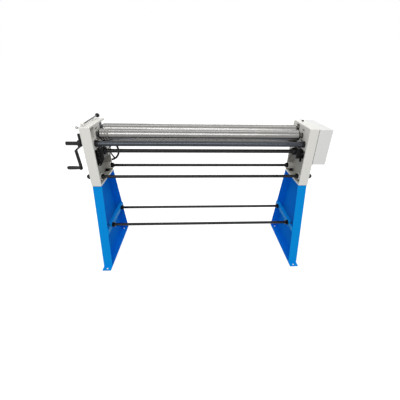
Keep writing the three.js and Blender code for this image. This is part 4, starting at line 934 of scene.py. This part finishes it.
@dataclass
class Drive:
    """The drive shaft with its bearings, crank, grip and gears."""

    journal: float = 14.0
    shaft: float = 16.0
    seat: float = 11.0
    stub: float = 12.0
    core: float = 10.0
    core_reach: float = 19.6
    flange_radius: float = 21.5
    flange_width: float = 8.0
    flange_chamfer: tuple[float, float] = (1.6, 2.0)
    bearing_wall: float = 4.0
    collar_radius: float = 19.0
    collar_width: float = 13.0
    collar_chamfer: float = 2.5
    collar_fit: float = 0.1
    sleeve_groove: tuple[float, float, float] = (4.0, 5.0, 6.0)
    sleeve_cut: float = 0.8
    spindle_radius: float = 5.0
    spindle_head: Outline = ((0.0, 6.5), (1.0, 8.0), (3.0, 8.0))
    grip_bore: float = 5.3
    grip_near: Outline = ((0.0, 9.6), (2.5, 11.4), (14.0, 12.2))
    grip_belly: tuple[float, float] = (0.55, 11.8)
    grip_far: Outline = ((12.0, 10.8), (4.0, 11.4), (1.5, 11.0), (0.0, 9.8))
    fit: float = 0.3
    gear_ease: float = 0.5
    stud_ease: float = 0.6
    arm_ease: float = 1.4

    def build(self) -> None:
        """Make every piece of the drive."""
        self.bearings()
        self.set_collars()
        self.drive_shaft()
        self.sleeve()
        dressed_copy("crank_arm", BLACK_ENAMEL, self.arm_ease, segments=3)
        self.spindle()
        self.grip()
        dressed_copy("idler_stud", GREY_IRON, self.stud_ease)
        for node in ("drive_pinion", "idler_gear", "lower_roll_drive_gear"):
            dressed_copy(node, GEAR_CUT, self.gear_ease)

    def bearings(self) -> None:
        """A flanged bearing bush through each housing."""
        nodes = [f"{side.word}_drive_bearing" for side in Side]
        low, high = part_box(nodes[0])
        middle = centre(nodes[0])
        length = (high.x - low.x) / MM
        bore = self.journal + self.fit
        rise, drop = self.flange_chamfer
        profile = [(0.0, bore), (0.0, self.flange_radius - drop), (rise, self.flange_radius),
                   (self.flange_width, self.flange_radius), (self.flange_width, bore + self.bearing_wall),
                   (length, bore + self.bearing_wall), (length, bore)]
        foot = Vector((high.x, middle.y, middle.z))
        first = turned(f"{nodes[0]}_piece", foot, -Axis.X.vector, profile, ease=0.5, closed=True)
        pieces = (first, across(first, f"{nodes[1]}_piece", middle.y))
        for piece, node in zip(pieces, nodes):
            dress(piece, BLACK_OXIDE, BODY_OF[node], [node])

    def set_collars(self) -> None:
        """The chamfered collar on the shaft beside each bearing."""
        axis = centre("drive_shaft")
        bore = self.shaft + self.collar_fit
        profile = [(self.fit, bore), (self.fit, self.collar_radius),
                   (self.collar_width - self.collar_chamfer, self.collar_radius),
                   (self.collar_width, self.collar_radius - self.collar_chamfer), (self.collar_width, bore)]
        foot = Vector((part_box("left_drive_bearing")[1].x, axis.y, axis.z))
        first = turned("left_set_collar", foot, Axis.X.vector, profile, ease=0.4, closed=True)
        for collar in (first, across(first, "right_set_collar", axis.y)):
            dress(collar, BLACK_OXIDE, "drive")

    def drive_shaft(self) -> None:
        """The long shaft, stepped for its bearings, its crank stub and the pinion."""
        start, length = span("drive_shaft", Axis.X)
        left = (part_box("left_drive_bearing")[1].x - start.x) / MM + self.fit
        right = (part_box("right_drive_bearing")[0].x - start.x) / MM - self.fit
        outer_left = (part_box("left_housing")[0].x - start.x) / MM
        outer_right = (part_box("right_housing")[1].x - start.x) / MM
        step = (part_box("stub_sleeve")[1].x - start.x) / MM + self.core_reach
        profile = [(0.0, self.core), (step, self.core), (step, self.stub), (outer_left, self.stub),
                   (outer_left, self.journal), (left, self.journal), (left, self.shaft),
                   (right, self.shaft), (right, self.journal), (outer_right, self.journal),
                   (outer_right, self.seat), (length, self.seat)]
        piece = turned("drive_shaft_piece", start, Axis.X.vector, profile, ease=0.8)
        dress(piece, DRAWN_SHAFT, BODY_OF["drive_shaft"], ["drive_shaft"])

    def sleeve(self) -> None:
        """The black sleeve on the shaft's outer end, with a turned groove near each of its ends."""
        start, length = span("stub_sleeve", Axis.X)
        bore = self.core + self.fit
        low, cut = self.stub - self.sleeve_cut, self.sleeve_cut
        heights = (self.stub, low, self.stub)
        near = list(zip(self.sleeve_groove, heights))
        far = [(length - reach, height) for reach, height in reversed(near)]
        profile = [(0.0, low), (cut, self.stub)] + near + far
        profile += [(length, self.stub), (length, bore), (0.0, bore)]
        dressed_turn("stub_sleeve", BLACK_OXIDE, start, Axis.X, profile, ease=0.3, closed=True)

    def spindle(self) -> None:
        """The grip's spindle with a round head at each end."""
        start, length = span("crank_spindle", Axis.X)
        near = list(self.spindle_head) + [(self.spindle_head[-1][0], self.spindle_radius)]
        profile = near + [(length - reach, radius) for reach, radius in reversed(near)]
        dressed_turn("crank_spindle", BLACK_OXIDE, start, Axis.X, profile, ease=0.4, sides=SMALL_SIDES)

    def grip(self) -> None:
        """The turning grip, slightly waisted towards its inner end."""
        start, length = span("crank_grip", Axis.X)
        profile = barrel(length, self.grip_bore, self.grip_near, self.grip_belly, self.grip_far)
        dressed_turn("crank_grip", PHENOLIC, start, Axis.X, profile, ease=0.8, closed=True)


@dataclass
class RollSet:
    """What the three rolls share: face, black end collars, journals and wire grooves."""

    face: float = 35.0
    collar: float = 30.0
    collar_width: float = 9.0
    journal: float = 15.0
    roll_length: float = 1300.0
    corner: float = 1.2
    groove_start: float = 16.0
    groove_pitch: float = 17.0
    groove_steps: int = 6
    groove_depth: float = 0.6
    end_margin: float = 0.2
    collar_margin: float = 1.0
    journal_margin: float = 0.5
    block_ease: float = 1.2

    def roll(self, node: str, grooves: Sequence[float] = (),
             trims: tuple[float, float] = (0.0, 0.0)) -> None:
        """A ground roll with black end collars and, where it has them, wire grooves.

        Args:
            node: the roll's CAD node.
            grooves: widths of the wire grooves in millimetres, from the left end.
            trims: how far the left and right collars stand further in, in millimetres.
        """
        start, length = span(node, Axis.X)
        left = (middle_x() - start.x) / MM - self.roll_length / 2 + trims[0]
        right = left - trims[0] + self.roll_length - trims[1]
        profile = [(0.0, self.journal), (left - self.collar_width, self.journal),
                   (left - self.collar_width, self.collar), (left, self.collar), (left, self.face)]
        for index, width in enumerate(grooves):
            profile += self.groove(left + self.groove_start + index * self.groove_pitch, width)
        profile += [(right, self.face), (right, self.collar), (right + self.collar_width, self.collar),
                    (right + self.collar_width, self.journal), (length, self.journal)]
        piece = turned(f"{node}_piece", start, Axis.X.vector, profile, self.corner)
        ends = (start.x + left * MM, start.x + right * MM)
        paint(piece, [ROLL_GRIND, BLACK_OXIDE, GROOVE_STEEL], lambda face: self.finish_of(face, start, ends))
        dress(piece, ROLL_GRIND, BODY_OF[node], [node])

    def finish_of(self, face: bpy.types.MeshPolygon, start: Vector, ends: tuple[float, float]) -> int:
        """Which finish a face has: 0 ground, 1 black collar, 2 turned groove.

        Args:
            face: the face.
            start: a point on the roll's axis.
            ends: where the ground face starts and ends along X, in metres.

        Returns:
            The finish by number.
        """
        radius = math.hypot(face.center.y - start.y, face.center.z - start.z) / MM
        margin = self.end_margin * MM
        inside = ends[0] + margin < face.center.x < ends[1] - margin
        if inside:
            return 2 if radius < self.face - self.corner else 0
        reach = (self.collar_width + self.collar_margin) * MM
        near = ends[0] - reach < face.center.x < ends[1] + reach
        return 1 if near and radius > self.journal + self.journal_margin else 0

    def groove(self, middle: float, width: float) -> Profile:
        """A round-bottomed wire groove in the roll's face.

        Args:
            middle: its middle along the roll, in millimetres.
            width: its width.

        Returns:
            Its (reach, radius) pairs.
        """
        half, deep = width / 2, width / 2 * self.groove_depth
        angles = [math.pi * step / self.groove_steps for step in range(self.groove_steps + 1)]
        return [(middle - half * math.cos(angle), self.face - deep * math.sin(angle)) for angle in angles]


@dataclass
class PinchRolls(RollSet):
    """The geared pair of rolls with their blocks, bush and screws."""

    gear_ease: float = 0.5
    screw_ease: float = 0.8
    bush_ease: float = 0.6

    def build(self) -> None:
        """Make both rolls and what carries them."""
        for node in ("lower_roll", "upper_roll"):
            self.roll(node)
        for node in ("lower_pinch_gear", "upper_pinch_gear"):
            dressed_copy(node, GEAR_CUT, self.gear_ease)
        for side in Side:
            dressed_copy(f"{side.word}_lower_block", GREY_IRON, self.block_ease)
        screws = [f"{side.word}_pinch_screw" for side in Side]
        dressed_repeats(recast(screws[0], f"{screws[0]}_piece", self.screw_ease), BLACK_OXIDE, screws)
        dressed_copy("upper_left_block", GREY_IRON, self.block_ease)
        dressed_copy("upper_right_bush", BEARING_BRONZE, self.bush_ease)


@dataclass
class BendingRoll(RollSet):
    """The bending roll with its lift: blocks, screws, nuts, lower shaft and handwheel."""

    grooves: tuple[float, ...] = (6.0, 9.0, 12.0)
    trims: tuple[float, float] = (3.0, 12.0)
    block_ease: float = 2.4
    fit: float = 0.3
    wide_fit: float = 0.4
    sunk: float = 0.4
    ring_radius: float = 18.5
    ring_width: float = 2.2
    screw_radius: float = 8.0
    screw_pitch: float = 4.0
    screw_taper: float = 2.4
    screw_lead: float = 1.0
    screw_plain: float = 30.0
    bevel_ease: float = 0.4
    bracket_ease: float = 1.2
    spigot: float = 8.0
    lower_shaft: float = 12.5
    boss_radius: float = 24.0
    boss_reaches: tuple[float, float] = (14.0, 26.0)
    boss_lip: Outline = ((5.0, 0.0), (3.0, 6.0), (0.0, 7.0))
    guard_cap: Outline = ((0.0, 17.0), (3.0, 17.0), (5.0, 14.0), (5.0, 7.0), (3.0, 6.0))
    guard_cap_aside: float = 12.0
    guard_cap_drop: float = 8.0
    guard_cap_rise: float = 44.0
    guard_screw: Outline = ((0.0, 6.5), (4.0, 6.5))
    guard_screw_aside: float = 14.0
    guard_screw_drop: float = 10.0
    guard_screw_rise: float = 12.0
    wheel_radius: float = 73.0
    rim_radius: float = 7.0
    rim_sides: int = 24
    hub_outline: Outline = ((-15.0, 17.0), (-10.0, 20.0), (0.0, 21.0), (10.0, 20.0), (14.0, 16.0),
                            (15.0, 11.0))
    spokes: int = 3
    spoke_outline: Outline = ((10.0, 7.0), (45.0, 5.0), (72.0, 6.2))
    spoke_sides: int = 32
    wheel_shaft: float = 10.0
    pin_foot: float = 1.0
    pin_radius: float = 4.5
    pin_head: Outline = ((3.0, 7.0), (0.6, 7.0), (0.0, 6.0))
    handle_near: Outline = ((0.0, 8.5), (2.0, 9.4))
    handle_belly: tuple[float, float] = (0.6, 11.0)
    handle_far: Outline = ((6.0, 10.2), (1.0, 8.4), (0.0, 7.4))

    def build(self) -> None:
        """Make the bending roll and everything that lifts it."""
        self.roll("bending_roll", self.grooves, self.trims)
        for side in Side:
            dressed_copy(f"{side.word}_bending_block", HOUSING_ENAMEL, self.block_ease)
            dressed_copy(f"{side.word}_gear_nut", GEAR_CUT, self.bevel_ease)
            dressed_copy(f"{side.word}_sync_bevel", GEAR_CUT, self.bevel_ease)
            dressed_copy(f"{side.word}_screw_bracket", BLACK_ENAMEL, self.bracket_ease)
        self.end_rings()
        self.lift_screws()
        for side, reach in zip(Side, self.boss_reaches):
            self.shaft_boss(side, reach)
        self.guard_caps()
        self.sync_shaft()
        dressed_copy("handwheel_bevel", GEAR_CUT, self.bevel_ease)
        self.handwheel_shaft()
        self.handwheel()
        self.handle()

    def end_rings(self) -> None:
        """Painted shade: a dark ring round the journal on the face of each bending block, where the hole
        round the journal lies in shade.
        """
        # Painted shade: this thin black ring stands for the shadow in the hole round the journal.
        axis = centre("bending_roll")
        bore = self.journal + self.wide_fit
        profile = [(-self.sunk, bore), (-self.sunk, self.ring_radius), (self.ring_width, self.ring_radius),
                   (self.ring_width, bore)]
        foot = Vector((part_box("left_bending_block")[1].x, axis.y, axis.z))
        first = turned("left_journal_ring", foot, Axis.X.vector, profile, ease=0.5, closed=True)
        for ring in (first, across(first, "right_journal_ring", axis.y)):
            dress(ring, BLACK_OXIDE, "bending_lift")

    def shaft_boss(self, side: Side, reach: float) -> None:
        """The round boss on a bracket's face, with the lower shaft through it.

        Args:
            side: the end of the machine.
            reach: how far the boss stands out towards the rolls, in millimetres.
        """
        low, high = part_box(f"{side.word}_screw_bracket")
        shaft = centre("sync_shaft")
        inner = high.x if side is Side.LEFT else low.x
        bore = self.lower_shaft + self.wide_fit
        lip = [(reach - back, self.boss_radius - drop) for back, drop in self.boss_lip]
        profile = [(-self.sunk, bore), (-self.sunk, self.boss_radius)] + lip + [(reach, bore)]
        foot = Vector((inner, shaft.y, shaft.z))
        inwards = Vector((-side.value, 0.0, 0.0))
        boss = turned(f"{side.word}_shaft_boss", foot, inwards, profile, ease=0.8, closed=True)
        dress(boss, BLACK_ENAMEL, "frame")

    def guard_caps(self) -> None:
        """Two round caps and two screws on the front of the left guard."""
        low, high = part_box("left_screw_bracket")
        shaft = centre("sync_shaft")
        x = centre("left_lift_screw").x
        forward = -Axis.Y.vector
        upper_cap = Vector((x + self.guard_cap_aside * MM, low.y, shaft.z - self.guard_cap_drop * MM))
        first = turned("guard_cap_1", upper_cap, forward, list(self.guard_cap), ease=0.8, sides=SMALL_SIDES)
        down = low.z + self.guard_cap_rise * MM - upper_cap.z
        for piece in (first, duplicate(first, "guard_cap_2", (0.0, 0.0, down))):
            dress(piece, BLACK_ENAMEL, "frame")
        upper_screw = Vector((x + self.guard_screw_aside * MM, low.y, high.z - self.guard_screw_drop * MM))
        first = turned("guard_screw_1", upper_screw, forward, list(self.guard_screw), ease=0.8, sides=HEX)
        down = low.z + self.guard_screw_rise * MM - upper_screw.z
        for piece in (first, duplicate(first, "guard_screw_2", (0.0, 0.0, down))):
            dress(piece, BRIGHT_STEEL, "frame")

    def lift_screws(self) -> None:
        """A threaded screw with a plain top under each block."""
        nodes = [f"{side.word}_lift_screw" for side in Side]
        start, length = span(nodes[0], Axis.Z)
        plain = length - self.screw_plain
        profile = [(0.0, self.screw_radius - self.screw_taper)]
        profile += thread(self.screw_lead, plain, self.screw_radius, self.screw_pitch)
        profile += [(plain + self.screw_lead, self.screw_radius), (length, self.screw_radius)]
        first = turned(f"{nodes[0]}_piece", start, Axis.Z.vector, profile, ease=0.0, sides=SMALL_SIDES)
        dressed_repeats(first, BLACK_OXIDE, nodes)

    def sync_shaft(self) -> None:
        """The lower shaft with a spigot at each end for its bevel gear."""
        start, length = span("sync_shaft", Axis.X)
        left = (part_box("left_sync_bevel")[1].x - start.x) / MM + self.fit
        right = (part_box("right_sync_bevel")[0].x - start.x) / MM - self.fit
        profile = [(0.0, self.spigot), (left, self.spigot), (left, self.lower_shaft),
                   (right, self.lower_shaft), (right, self.spigot), (length, self.spigot)]
        dressed_turn("sync_shaft", BLACK_OXIDE, start, Axis.X, profile, ease=1.0)

    def handwheel_shaft(self) -> None:
        """The shaft from the handwheel to its bevel gear."""
        start, length = span("handwheel_shaft", Axis.Y)
        tip = (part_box("handwheel_bevel")[1].y - start.y) / MM + self.fit
        profile = [(0.0, self.spigot), (tip, self.spigot), (tip, self.wheel_shaft),
                   (length, self.wheel_shaft)]
        dressed_turn("handwheel_shaft", BLACK_OXIDE, start, Axis.Y, profile, ease=0.8, sides=SMALL_SIDES)

    def handwheel(self) -> None:
        """Cast wheel with a round rim, three tapered spokes, a hub and the handle's pin."""
        hub = centre("handwheel_shaft")
        low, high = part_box("handwheel")
        half = self.hub_outline[-1][0]
        middle = Vector((hub.x, low.y + half * MM, hub.z))
        deselect()
        bpy.ops.mesh.primitive_torus_add(location=middle, rotation=(math.pi / 2, 0.0, 0.0),
                                         major_radius=self.wheel_radius * MM, major_segments=SIDES,
                                         minor_radius=self.rim_radius * MM, minor_segments=self.rim_sides)
        bpy.ops.object.transform_apply(location=True, rotation=True, scale=True)
        wheel = bpy.context.object
        wheel.name = "handwheel_piece"
        boss = turned("boss", middle, Axis.Y.vector, list(self.hub_outline), ease=1.0)
        spoke = turned("spoke", middle, -Axis.X.vector, list(self.spoke_outline), ease=0.0,
                       sides=self.spoke_sides)
        parts = [boss, spoke]
        for index in range(1, self.spokes):
            turn = index * 2 * math.pi / self.spokes
            parts.append(duplicate(spoke, "spoke", turn=turn, axis=Axis.Y, pivot=middle))
        foot = middle - Axis.X.vector * self.wheel_radius * MM
        end = (high.y - middle.y) / MM
        head = [(end - back, radius) for back, radius in self.pin_head]
        stem = [(self.pin_foot, self.pin_radius), (head[0][0], self.pin_radius)]
        parts.append(turned("pin", foot, Axis.Y.vector, stem + head, ease=0.3, sides=self.spoke_sides))
        fused(wheel, parts)
        dress(wheel, BLACK_ENAMEL, BODY_OF["handwheel"], ["handwheel"])

    def handle(self) -> None:
        """The wheel's turning handle, a slender barrel."""
        start, length = span("handwheel_handle", Axis.Y)
        bore = self.pin_radius + self.fit
        profile = barrel(length, bore, self.handle_near, self.handle_belly, self.handle_far)
        dressed_turn("handwheel_handle", PHENOLIC, start, Axis.Y, profile, ease=0.8, closed=True)


@dataclass
class Release:
    """The release lever with its knob, pivot ears and the ball oiler beside it."""

    rod_radius: float = 4.0
    hub_radius: float = 7.0
    hub_width: float = 12.0
    pivot_radius: float = 3.0
    pin_radius: float = 6.0
    pin_overlap: float = 1.0
    rod_sides: int = 32
    paint_reach: float = 1.0
    paint_drop: float = 4.5
    ears_ease: float = 0.6
    knob_radius: float = 14.5
    knob_neck: tuple[float, float] = (0.98, 5.4)
    knob_rings: int = 18
    knob_first_ring: int = 3
    knob_pole: float = 0.6
    oiler_stem: float = 3.0
    oiler_ball: float = 8.0
    oiler_rings: int = 16

    def build(self) -> None:
        """Make the lever, the knob, the ears and the oiler."""
        self.lever()
        self.knob()
        dressed_copy("lever_bracket", HOUSING_ENAMEL, self.ears_ease)
        self.oiler()

    def lever(self) -> None:
        """A round rod from its cross hub, with the clamp pin below it."""
        low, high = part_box("release_lever")
        knob = centre("release_knob")
        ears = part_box("lever_bracket")
        x = (low.x + high.x) / 2
        pivot = Vector((x, (ears[0].y + ears[1].y) / 2, ears[1].z - 2 * self.pivot_radius * MM))
        way = (knob - pivot).normalized()
        length = (high.y - pivot.y) / MM
        rod = turned("rod", pivot, way, [(0.0, self.rod_radius), (length, self.rod_radius)], ease=0.5,
                     sides=self.rod_sides)
        wide = (high.x - low.x) / 2 / MM
        half = self.hub_width / 2
        cross = [(-wide, self.pivot_radius), (-half, self.pivot_radius), (-half, self.hub_radius),
                 (half, self.hub_radius), (half, self.pivot_radius), (wide, self.pivot_radius)]
        hub = turned("hub", pivot, Axis.X.vector, cross, ease=0.6, sides=SMALL_SIDES)
        block = centre("upper_left_block")
        along = (block.y - pivot.y) / (knob.y - pivot.y)
        top = pivot.lerp(knob, along)
        height = (top.z - low.z) / MM + self.pin_overlap
        pin = turned("pin", Vector((x, block.y, low.z)), Axis.Z.vector,
                     [(0.0, self.pin_radius), (height, self.pin_radius)], ease=0.8, sides=SMALL_SIDES)
        piece = fused(rod, [hub, pin])
        piece.name = "release_lever_piece"
        reach = (self.hub_radius + self.paint_reach) * MM
        floor = top.z - self.paint_drop * MM
        paint(piece, [BLACK_OXIDE, HOUSING_ENAMEL],
              lambda face: int((face.center - pivot).length < reach + half * MM
                               and abs(face.center.y - pivot.y) < reach or face.center.z < floor))
        dress(piece, BLACK_OXIDE, BODY_OF["release_lever"], ["release_lever"])

    def knob(self) -> None:
        """A moulded ball with a short neck where the rod enters."""
        middle = centre("release_knob")
        radius = self.knob_radius
        middle.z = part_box("release_knob")[1].z - radius * MM
        share, neck = self.knob_neck
        profile = [(-radius * share, neck)] + ball(radius, self.knob_rings, self.knob_first_ring)
        profile.append((radius, self.knob_pole))
        dressed_turn("release_knob", PHENOLIC, middle, Axis.Y, profile, ease=0.0, sides=SMALL_SIDES)

    def oiler(self) -> None:
        """A ball on a short stem outside the left housing."""
        low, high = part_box("ball_oiler")
        stem_y = high.y - self.oiler_stem * MM
        radius = self.oiler_ball
        ball_middle = Vector((low.x + radius * MM, low.y + radius * MM, (low.z + high.z) / 2))
        head = turned("ball", ball_middle, Axis.Z.vector, ball(radius, self.oiler_rings), ease=0.0,
                      sides=SMALL_SIDES)
        stem_start = Vector((ball_middle.x, stem_y, ball_middle.z - self.oiler_stem * MM))
        length = (high.x - ball_middle.x) / MM
        stem = turned("stem", stem_start, Axis.X.vector,
                      [(0.0, self.oiler_stem), (length, self.oiler_stem)], ease=0.4, sides=self.rod_sides)
        piece = fused(head, [stem])
        piece.name = "ball_oiler_piece"
        dress(piece, BRIGHT_STEEL, BODY_OF["ball_oiler"], ["ball_oiler"])


@dataclass
class Lamp:
    """A soft rectangular lamp that gives a white face turned to it a share of full brightness."""

    name: str
    place: tuple[float, float, float]
    size: tuple[float, float]
    share: float
    target: tuple[float, float, float] = (0.0, 0.0, 0.6)

    def build(self) -> None:
        """Add the lamp, aimed at its target."""
        there, target = Vector(self.place), Vector(self.target)
        way = target - there
        aim = way.to_track_quat("-Z", "Y").to_euler()
        bpy.ops.object.light_add(type="AREA", location=there, rotation=aim)
        lamp = bpy.context.object
        lamp.name = self.name
        lamp.data.shape = "RECTANGLE"
        lamp.data.size, lamp.data.size_y = self.size
        lamp.data.energy = self.share * math.pi ** 2 * way.length_squared


@dataclass
class Studio:
    """The white floor and surroundings, the lamps and the camera."""

    floor_size: float = 30.0
    floor_tone: str = "#aaaaaa"
    floor_drop: float = 0.0005
    floor_lift: float = 0.80
    surround: float = 0.60
    camera_place: tuple[float, float, float] = (-0.016487, -1.717521, 1.354336)
    pitch: float = 29.837
    yaw: float = 3.787
    roll: float = 1.339
    focal_pixels: float = 255.198
    centre_pixels: tuple[float, float] = (210.202, 206.756)
    frame_pixels: float = 400.0
    sensor_mm: float = 36.0
    lamps: list[Lamp] = field(default_factory=lambda: [
        Lamp("key_lamp", (-0.3, -3.4, 2.9), (4.4, 1.0), 0.56),
        Lamp("top_lamp", (0.0, 0.3, 3.9), (4.6, 0.8), 0.30),
        Lamp("rear_lamp", (0.5, 3.6, 2.4), (3.0, 1.4), 0.25),
    ])

    def build(self) -> None:
        """Add everything round the machine."""
        self.floor()
        self.world()
        for lamp in self.lamps:
            lamp.build()
        self.camera()
        bpy.context.scene.view_settings.view_transform = "Standard"

    def background_rays(self, tree: bpy.types.NodeTree) -> bpy.types.NodeSocket:
        """Find the rays that see the background.

        Args:
            tree: the node tree that uses them.

        Returns:
            A factor that is 1 for the camera's, glossy and transmitted rays.
        """
        paths = add_node(tree, "ShaderNodeLightPath")
        first = add_node(tree, "ShaderNodeMath", {"operation": "MAXIMUM"},
                         links={0: paths.outputs["Is Camera Ray"], 1: paths.outputs["Is Glossy Ray"]})
        both = add_node(tree, "ShaderNodeMath", {"operation": "MAXIMUM"},
                        links={0: first.outputs[0], 1: paths.outputs["Is Transmission Ray"]})
        return both.outputs[0]

    def floor(self) -> None:
        """A large pale floor that keeps the machine's shadow."""
        deselect()
        bpy.ops.mesh.primitive_plane_add(size=self.floor_size, location=(0.0, 0.0, -self.floor_drop))
        bpy.ops.object.transform_apply(location=True, rotation=True, scale=True)
        ground = bpy.context.object
        ground.name = "studio_floor"
        made = bpy.data.materials.new("pale_studio_floor")
        made.use_nodes = True
        tree = made.node_tree
        tree.nodes.clear()
        paper = add_node(tree, "ShaderNodeBsdfDiffuse", values={"Color": linear(self.floor_tone)})
        lift = add_node(tree, "ShaderNodeMath", {"operation": "MULTIPLY"}, {1: self.floor_lift},
                        {0: self.background_rays(tree)})
        glow = add_node(tree, "ShaderNodeEmission", links={"Strength": lift.outputs[0]})
        both = add_node(tree, "ShaderNodeAddShader", links={0: paper.outputs[0], 1: glow.outputs[0]})
        add_node(tree, "ShaderNodeOutputMaterial", links={"Surface": both.outputs[0]})
        ground.data.materials.append(made)

    def world(self) -> None:
        """White where the background is seen, softer where it lights the machine."""
        world = bpy.data.worlds.new("white_surround")
        bpy.context.scene.world = world
        world.use_nodes = True
        tree = world.node_tree
        tree.nodes.clear()
        soft, white = [add_node(tree, "ShaderNodeBackground", values={"Color": WHITE, "Strength": strength})
                       for strength in (self.surround, 1.0)]
        mixed = add_node(tree, "ShaderNodeMixShader",
                         links={0: self.background_rays(tree), 1: soft.outputs[0], 2: white.outputs[0]})
        add_node(tree, "ShaderNodeOutputWorld", links={"Surface": mixed.outputs[0]})

    def camera(self) -> None:
        """The photograph's view: place, turn, focal length and shift."""
        lens = bpy.data.cameras.new("view")
        lens.sensor_width = self.sensor_mm
        lens.lens = self.focal_pixels / self.frame_pixels * self.sensor_mm
        lens.shift_x = (self.frame_pixels / 2 - self.centre_pixels[0]) / self.frame_pixels
        lens.shift_y = (self.centre_pixels[1] - self.frame_pixels / 2) / self.frame_pixels
        camera = bpy.data.objects.new("view", lens)
        bpy.context.scene.collection.objects.link(camera)
        turn = (Matrix.Rotation(math.radians(-self.yaw), 4, "Z")
                @ Matrix.Rotation(math.radians(90 - self.pitch), 4, "X")
                @ Matrix.Rotation(math.radians(self.roll), 4, "Z"))
        camera.matrix_world = Matrix.Translation(self.camera_place) @ turn
        bpy.context.scene.camera = camera


def main() -> None:
    """Build the machine, sub-assembly by sub-assembly, and the studio round it."""
    logging.basicConfig(level=logging.INFO, format="%(name)s: %(message)s")
    for part in (Stand(), Castings(), TieRods(), Drive(), PinchRolls(), BendingRoll(), Release(), Studio()):
        part.build()
        LOG.info("%s built", type(part).__name__)


if __name__ == "__main__":
    main()
